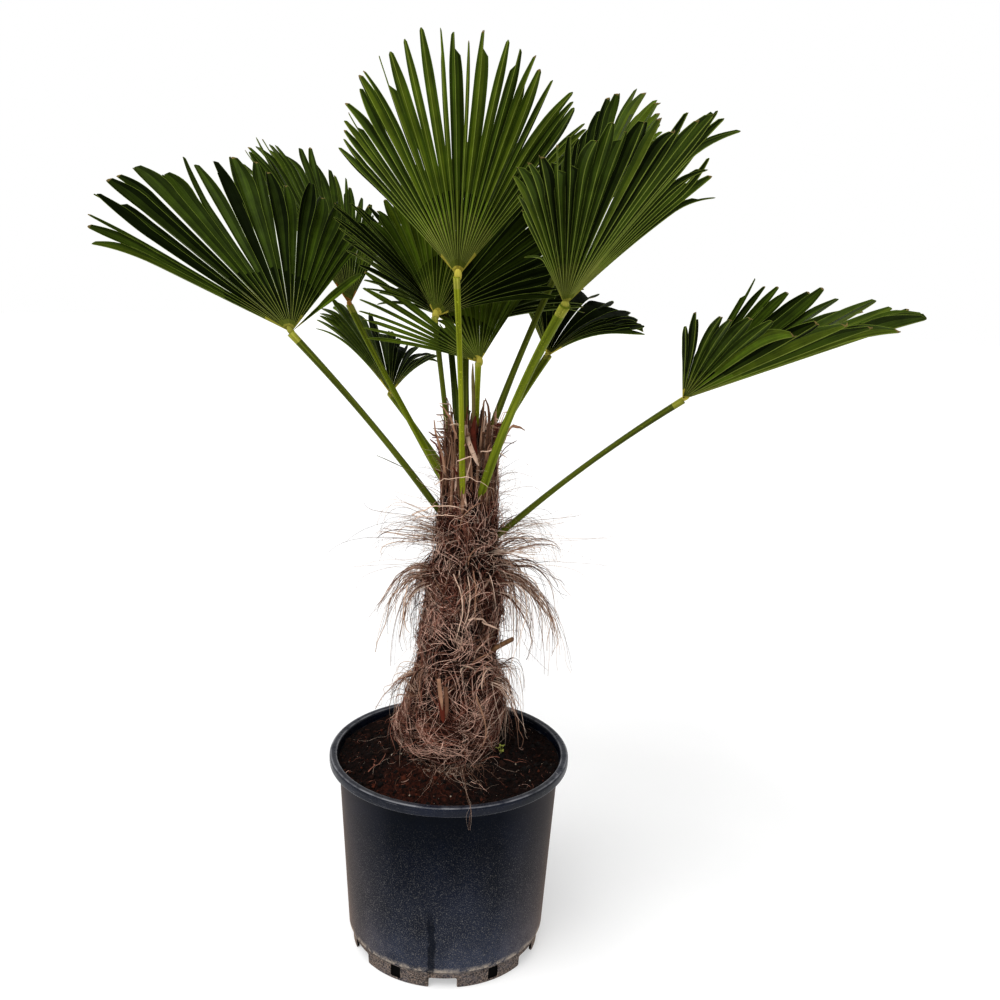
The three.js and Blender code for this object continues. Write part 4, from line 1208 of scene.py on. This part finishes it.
def make_stalk(number, frond):
    """A stalk that is flatter above than below, widens at both ends and starts in the trunk."""
    sides = 16
    line = stalk_line(frond)
    along = unit(np.gradient(line, axis=0))
    upright = abs(along[0, 2]) > 0.98
    across = unit(np.cross(along, [1.0, 0, 0] if upright else UP))
    over = np.cross(across, along)
    share = np.linspace(0, 1, STALK_ROWS)
    half = STALK["half_width"] + STALK["root_extra"] * (1 - share) ** 4 + STALK["hub_extra"] * share ** 3
    half = half * frond["girth"] * (1 - 0.35 * (1 - share) ** 14)
    line[0] -= along[0] * 14
    points = []
    for wide, high in round_ring(sides):
        level = STALK["above"] * (0.8 if abs(wide) < 0.5 else 1.0) if high > 0 else STALK["below"]
        points.append(line + across * (half * wide)[:, None] + over * (half * high * level)[:, None])
    grain = np.stack(np.broadcast_arrays(circle(sides) * 5, (share * frond["stalk"])[:, None]), -1)
    quads, ends = ring_faces(1, STALK_ROWS, sides)
    paint = np.zeros((STALK_ROWS - 1, sides), int)
    paint[-2:] = 1
    shape = Shape()
    shape.add(np.stack(points, 1), (quads[:, ::-1], paint.ravel()), (ends[:, ::-1], 0), grain=grain)
    materials = [STALK_GREENS[frond["green"]], STALK_TOP]
    shape.piece(f"stalk_{number:02d}", materials, "stalk", [f"frond_{number:02d}_stalk"])


def make_fronds():
    for number, (sizes, look) in enumerate(zip(FRONDS, FROND_LOOKS), 1):
        frond = {**dict(zip(FROND_KEYS, sizes)), **PLAIN_LOOK, **look}
        make_stalk(number, frond)
        make_blade(number, frond)


# ---------------------------------------------------------------- stub, soil and pot


def make_stub():
    height, heading = STUB["height"], STUB["heading"]
    start = off_trunk(height, heading, trunk_radius(height, heading) - STUB["buried"])
    share = np.linspace(0, 1, 7)
    line = start + direction(heading, STUB["rise"]) * (STUB["length"] * share)[:, None]
    half = STUB["half_width"] * (1.1 - 0.35 * share) * (1 + 0.05 * np.sin(share * 9))
    shape = Shape()
    strands(shape, line[None], UP, round_ring(14), half, half * 0.5, 0)
    wood = earth_finish("cut_stub_wood", (74, 52, 36), (150, 116, 84), scale=90, bump=0.001)
    shape.piece("cut_stub_dry", [wood], "dry_base", ["cut_stub"])


def soil_height(points):
    radii, heights = zip(*SOIL_RINGS)
    flat = points * [1, 1, 0]
    level = np.interp(np.linalg.norm(flat, axis=-1), radii, heights)
    return level + 2.6 * ripples(flat, 34, 31) + 2.2 * ripples(flat, 10, 32)


def make_soil():
    rings, sides = 90, 220
    radius = SOIL_EDGE * np.sqrt(np.linspace(0.0004, 1, rings))[:, None]
    points = polar(radius, circle(sides), 0)
    points[..., 2] = soil_height(points)
    base = points[-1:] * 0.978
    base[..., 2] = SOIL_UNDERSIDE
    quads, ends = ring_faces(1, rings + 1, sides)
    shape = Shape()
    shape.add(np.concatenate([points, base]), (quads, 0), (ends, 0))
    peat = peat_finish("soil_peat", (3, 1, 1), (36, 18, 13), 0.003)
    shape.piece("soil_bed", [peat], "soil", ["soil"])


def on_soil(rng, count, low, high, lift):
    radius = np.sqrt(rng.uniform((low / high) ** 2, 1, count)) * high
    points = polar(radius, rng.uniform(0, TURN, count), 0)
    points[:, 2] = soil_height(points) + lift
    return points


def add_crumbs(shape, rng, centres, sizes, paint):
    """Small angular lumps: squashed octahedra, each turned its own way."""
    corners = np.array([(1, 0, 0), (-1, 0, 0), (0, 1, 0), (0, -1, 0), (0, 0, 1), (0, 0, -1)], float)
    faces = [(0, 2, 4), (2, 1, 4), (1, 3, 4), (3, 0, 4), (2, 0, 5), (1, 2, 5), (3, 1, 5), (0, 3, 5)]
    count = len(centres)
    first = unit(rng.normal(size=(count, 3)))
    second = unit(np.cross(first, rng.normal(size=(count, 3))))
    turn = np.stack([first, second, np.cross(first, second)], 1)
    stretch = rng.uniform(0.5, 1.2, (count, len(corners), 1))
    points = (corners * stretch * sizes[:, None, None]) @ turn + centres[:, None]
    index = np.arange(count)[:, None, None] * len(corners) + np.array(faces)
    shape.add(points, (index.reshape(-1, 3), np.repeat(paint, len(faces))))


def make_soil_crumbs():
    rng = np.random.default_rng(33)
    crumbs = [
        earth_finish("crumb_black", (5, 3, 2), (18, 10, 8)),
        peat_finish("crumb_brown", (12, 6, 4), (56, 31, 22), 0.0012),
        earth_finish("crumb_red", (50, 21, 12), (96, 48, 29)),
        earth_finish("crumb_pale", (150, 136, 116), (206, 196, 180)),
    ]
    black, brown, red, pale = range(len(crumbs))
    count = 12000
    centres = on_soil(rng, count, 74, 177, 0.4)
    sizes = rng.gamma(1.3, 0.65, count) + 0.35
    reddish = np.exp(-((centres[:, 0] + 50) ** 2 + (centres[:, 1] + 112) ** 2) / 62 ** 2)
    chance = rng.random(count)
    paint = np.where(chance < 0.5, black, brown)
    paint = np.where(rng.random(count) < 0.02 + 0.3 * reddish, red, paint)
    paint = np.where(chance > 0.99, pale, paint)
    sizes = np.where(paint == pale, 0.8, sizes)
    sizes[:700] *= 2.6
    shape = Shape()
    add_crumbs(shape, rng, centres, sizes, paint)
    shape.piece("soil_crumbs", crumbs, "soil")


def make_soil_litter():
    """Dry bits of root, straw and fibre on the soil, and a few small twigs."""
    rng = np.random.default_rng(34)
    count, rows = 170, 6
    even, stray = draws(rng, (count, 1))
    centres = on_soil(rng, count, 95, 172, 1.2)
    heading = even(0, 360)
    share = np.linspace(-0.5, 0.5, rows)
    length = rng.gamma(2.2, 6, (count, 1))
    lines = centres[:, None] + direction(heading + stray(0, 60) * share) * (length * share)[..., None]
    lines[..., 2] = soil_height(lines) + 1.0 + even(0, 2.5) * np.cos(share * math.pi)
    shape = Shape()
    radii = np.linspace(0.6, 0.2, rows) * even(0.4, 1.1)
    hairs(shape, lines, radii, UP, dealt(rng, count, 0.12, 0.3, 0.38, 0.2))
    rows = 9
    twigs = [((-128, -65), (-102, -34), 1.0), ((-118, -50), (-122, -34), 0.9), ((49, -66), (124, -40), 0.8)]
    for first, last, radius in twigs:
        line = np.zeros((rows, 3))
        line[:, :2] = np.array(first) + np.subtract(last, first) * np.linspace(0, 1, rows)[:, None]
        line[:, :2] += rng.normal(0, 1.0, (rows, 2))
        line[:, 2] = soil_height(line) + radius + 1.2
        hairs(shape, line[None], np.linspace(radius, radius * 0.45, rows), UP, 1, sides=7)
    shape.piece("soil_litter", FIBRES, "soil")


def make_soil_hair():
    """Fine curling hair that has spread from the trunk's foot over the soil."""
    rng = np.random.default_rng(36)
    shape = Shape()
    count, rows = 170, 13
    even, stray = draws(rng, count)
    heading = stray(-80, 24)
    heading = np.where(rng.random(count) < 0.25, even(0, 360), heading)
    place = off_trunk(350, heading, 78 + rng.gamma(1.6, 6, count))
    way = np.radians(stray(heading, 60))
    bend = stray(0, 0.3)
    step = rng.gamma(2.4, 1.4, count)
    lift = even(0.6, 5)
    lines = []
    for row in range(rows):
        place[:, 2] = soil_height(place) + 0.7 + lift * math.sin(math.pi * row / (rows - 1))
        lines.append(place)
        place = place + polar(step, way, 0)
        far = np.linalg.norm(place[:, :2], axis=-1, keepdims=True)
        place[:, :2] *= np.minimum(1, 170 / far)
        way = way + bend + stray(0, 0.15)
    radii = tapered(rows, 0.22, 0.1) * even(0.6, 1.2)[:, None]
    hairs(shape, np.stack(lines, 1), radii, UP, dealt(rng, count, 0.36, 0.36, 0.2, 0.08))

    count, rows = 5, 29
    even, stray = draws(rng, (count, 1, 1))
    share = np.linspace(0, 1, rows)[:, None]
    sway = np.sin(share * even(6, 16) + even(0, TURN))
    wisp = smooth_path(RIM_WISP, rows) + [2.4, 0, 0] * stray(0, 1) * (sway + 1.2 * share)
    hairs(shape, wisp, np.linspace(0.2, 0.1, rows), np.array([1.0, 0, 0.1]), rng.choice(2, count))
    shape.piece("soil_hair", LOOSE, "loose_fibre")


def make_seedling():
    """The little yellow-green weed by the trunk's foot."""
    rng = np.random.default_rng(35)
    shape = Shape()
    root = np.array([83.0, -40.0, 0.0])
    root[2] = soil_height(root)
    share = np.linspace(0, 1, 5)[:, None]
    for heading, height, lean in ((40, 13, 3), (170, 10, 5), (290, 8, 6), (235, 15, 2)):
        line = root + direction(heading) * lean * share + UP * height * share
        hairs(shape, line[None], np.linspace(0.5, 0.35, 5), np.array([0.3, 1, 0.1]), sides=5)
        for turn in (0, 120, 240):
            way = direction(heading + turn + rng.uniform(-20, 20), 18)
            leaf = line[-1] + way * 5.0 * share
            widths = 1.5 * np.sin(math.pi * np.linspace(0.12, 0.95, 5))
            ribbons(shape, leaf[None], widths[None], UP, 0.2)
    green = earth_finish("seedling_green", (130, 138, 60), (180, 184, 100), bump=0.0002)
    shape.piece("soil_seedling", [green], "soil")


def arc(radius, height, size, first, last, steps=6):
    """Part of a circle in an outline, from one angle to another in degrees."""
    angles = np.radians(np.linspace(first, last, steps))
    return [(radius + size * math.cos(a), height + size * math.sin(a)) for a in angles]


# From the middle of the base over the foot, the ledge, the wall and the rim, and back inside.
POT_PROFILE = [
    (0.05, 0), (28, 0), (28.5, 17), (151.5, 17), (152, 1), *arc(153.2, 1.2, 1.2, 180, 270, 3),
    *arc(154.8, 1.2, 1.2, 270, 360, 3), (157.3, 28), *arc(160.5, 31.5, 1.2, 200, 270, 3)[::-1],
    *arc(161.8, 33.5, 1.4, 280, 355, 4), (170.5, 165), (178.2, 300), (180.6, 321), (181.6, 324),
    *arc(191.2, 327.8, 3.8, 265, 360), *arc(190.2, 335.2, 4.8, 0, 90, 7),
    *arc(186.4, 335.6, 4.4, 90, 178), (181.6, 330), (180.2, 322), (176, 300), (160, 33), (154, 28),
    (153, 20), (0.05, 20),
]
RIM_FOOT = 321.5
FEET = 6
NOTCH = {"half": 22.5, "top": 18, "edge": 3.5, "flare": 3.5}
DRAIN = {"half": 9, "low": 4.5, "high": 25.5, "edge": 1.5}
# How far from the axis the cuts start and end, and how far a notch is turned from a foot.
NOTCH_START, DRAIN_START, CUT_END = 139, 154.6, 176
NOTCH_TURN = 29.2


def notch_outline(half, top, edge, flare):
    """Rounded at its upper corners, and flared where the feet's lower corners are rounded."""
    right = [(0, -20), (half + flare, -20), *arc(half + flare, flare, flare, 270, 180, 5),
             *arc(half - edge, top - edge, edge, 0, 90, 5)]
    return right + [(-across, height) for across, height in right[:0:-1]]


def drain_outline(half, low, high, edge):
    right, left, low, high = half - edge, edge - half, low + edge, high - edge
    corners = [(right, high), (left, high), (left, low), (right, low)]
    return [point for turn, corner in enumerate(corners)
            for point in arc(*corner, edge, turn * 90, turn * 90 + 90, 5)]


def add_cutter(cutters, outline, start, turn):
    """A bar with an outline across it, that runs outwards at a turn in degrees."""
    away, aside = direction(turn), direction(turn + 90)
    points = [away * reach + aside * across + UP * height
              for reach in (start, CUT_END) for across, height in outline]
    quads, ends = ring_faces(1, 2, len(outline))
    cutters.add(points, (quads, 0), (ends, 0))


def make_pot():
    """The pot's shell, cut by the notches and by the drains, which end blind in its foot."""
    shape = Shape()
    turned(shape, POT_PROFILE, 216, closed=True)
    pot = add_object("pot_shell", shape.mesh("pot_shell", [pot_finish()]))
    cutters = Shape()
    for foot in range(FEET):
        turn = foot * 360 / FEET
        add_cutter(cutters, notch_outline(**NOTCH), NOTCH_START, turn + NOTCH_TURN)
        add_cutter(cutters, drain_outline(**DRAIN), DRAIN_START, turn)
    cutter = add_object("pot_cutter", cutters.mesh("pot_cutter", []))
    cut = pot.modifiers.new("cut", "BOOLEAN")
    cut.operation = "DIFFERENCE"
    cut.solver = "EXACT"
    cut.object = cutter
    bpy.context.view_layer.update()
    finished = bpy.data.meshes.new_from_object(pot.evaluated_get(bpy.context.evaluated_depsgraph_get()))
    finished.materials.append(rim_finish())
    for face in finished.polygons:
        face.material_index = int(face.center.z > RIM_FOOT * MM)
    finished.set_sharp_from_angle(angle=math.radians(35))
    bpy.data.objects.remove(pot)
    bpy.data.objects.remove(cutter)
    place("pot_shell", finished, "pot_plastic", ["pot"])


# ---------------------------------------------------------------- stage, lights and camera


def make_stage():
    floor = Shape()
    turned(floor, [(0.05, 0), (9000, 0)], 96)
    finish = Finish("studio_floor", 0.75, 0.15)
    tone = finish.noise(2, 2).ramp((0.3, (0.48, 0.48, 0.48, 1)), (0.7, (0.52, 0.52, 0.52, 1)))
    glow = {"Emission Color": (1, 1, 1, 1), "Emission Strength": 0.5}
    finish.feed(finish.shader, {"Base Color": tone, **glow})
    finish.material.cycles.emission_sampling = "NONE"
    stage = add_object("studio_floor", floor.mesh("studio_floor", [finish.material]))
    stage.location.z = -0.0006


def make_lights():
    """A white studio with a bright horizon and a softer ceiling, and one broad soft key."""
    world = bpy.data.worlds.new("studio")
    bpy.context.scene.world = world
    world.use_nodes = True
    tree = world.node_tree
    background = tree.nodes["Background"]
    background.inputs["Color"].default_value = (1.0, 1.0, 1.0, 1.0)
    sky = tree.nodes.new("ShaderNodeTexCoord")
    parts = tree.nodes.new("ShaderNodeSeparateXYZ")
    fade = tree.nodes.new("ShaderNodeMapRange")
    numbers = {"From Min": 0.16, "From Max": 0.45, "To Min": STUDIO["horizon"], "To Max": STUDIO["ceiling"]}
    for name, number in numbers.items():
        fade.inputs[name].default_value = number
    tree.links.new(sky.outputs["Generated"], parts.inputs["Vector"])
    tree.links.new(parts.outputs["Z"], fade.inputs["Value"])
    tree.links.new(fade.outputs["Result"], background.inputs["Strength"])
    light = bpy.data.lights.new("key", "SUN")
    light.energy = STUDIO["key"]
    light.angle = math.radians(STUDIO["key_angle"])
    lamp = add_object("key", light)
    lamp.rotation_euler = Vector(STUDIO["key_from"]).to_track_quat("Z", "Y").to_euler()


def make_camera():
    yaw, pitch, roll = (math.radians(CAMERA[name]) for name in ("yaw", "pitch", "roll"))
    forward = Vector((math.sin(yaw) * math.cos(pitch), math.cos(yaw) * math.cos(pitch), -math.sin(pitch)))
    level = Vector((math.cos(yaw), -math.sin(yaw), 0))
    upward = level.cross(forward)
    right = math.cos(roll) * level + math.sin(roll) * upward
    up = math.cos(roll) * upward - math.sin(roll) * level
    lens = bpy.data.cameras.new("camera")
    lens.lens = CAMERA["lens"]
    lens.sensor_width = 36
    lens.clip_start = 0.05
    lens.clip_end = 60
    camera = add_object("camera", lens)
    turn = Matrix((right, up, -forward)).transposed()
    camera.matrix_world = Matrix.Translation(CAMERA["place"]) @ turn.to_4x4()
    bpy.context.scene.camera = camera


# ---------------------------------------------------------------- the whole

bpy.context.scene.view_settings.view_transform = "Standard"
bpy.context.scene.view_settings.gamma = 0.87
for make in (
    make_camera, make_lights, make_stage, make_pot, make_soil, make_soil_crumbs, make_soil_litter,
    make_soil_hair, make_seedling, make_trunk_core, make_trunk_fibre, make_straps, make_fringes,
    make_tufts, make_locks, make_flying_hair, make_crown, make_needle, make_stub, make_fronds,
):
    make()
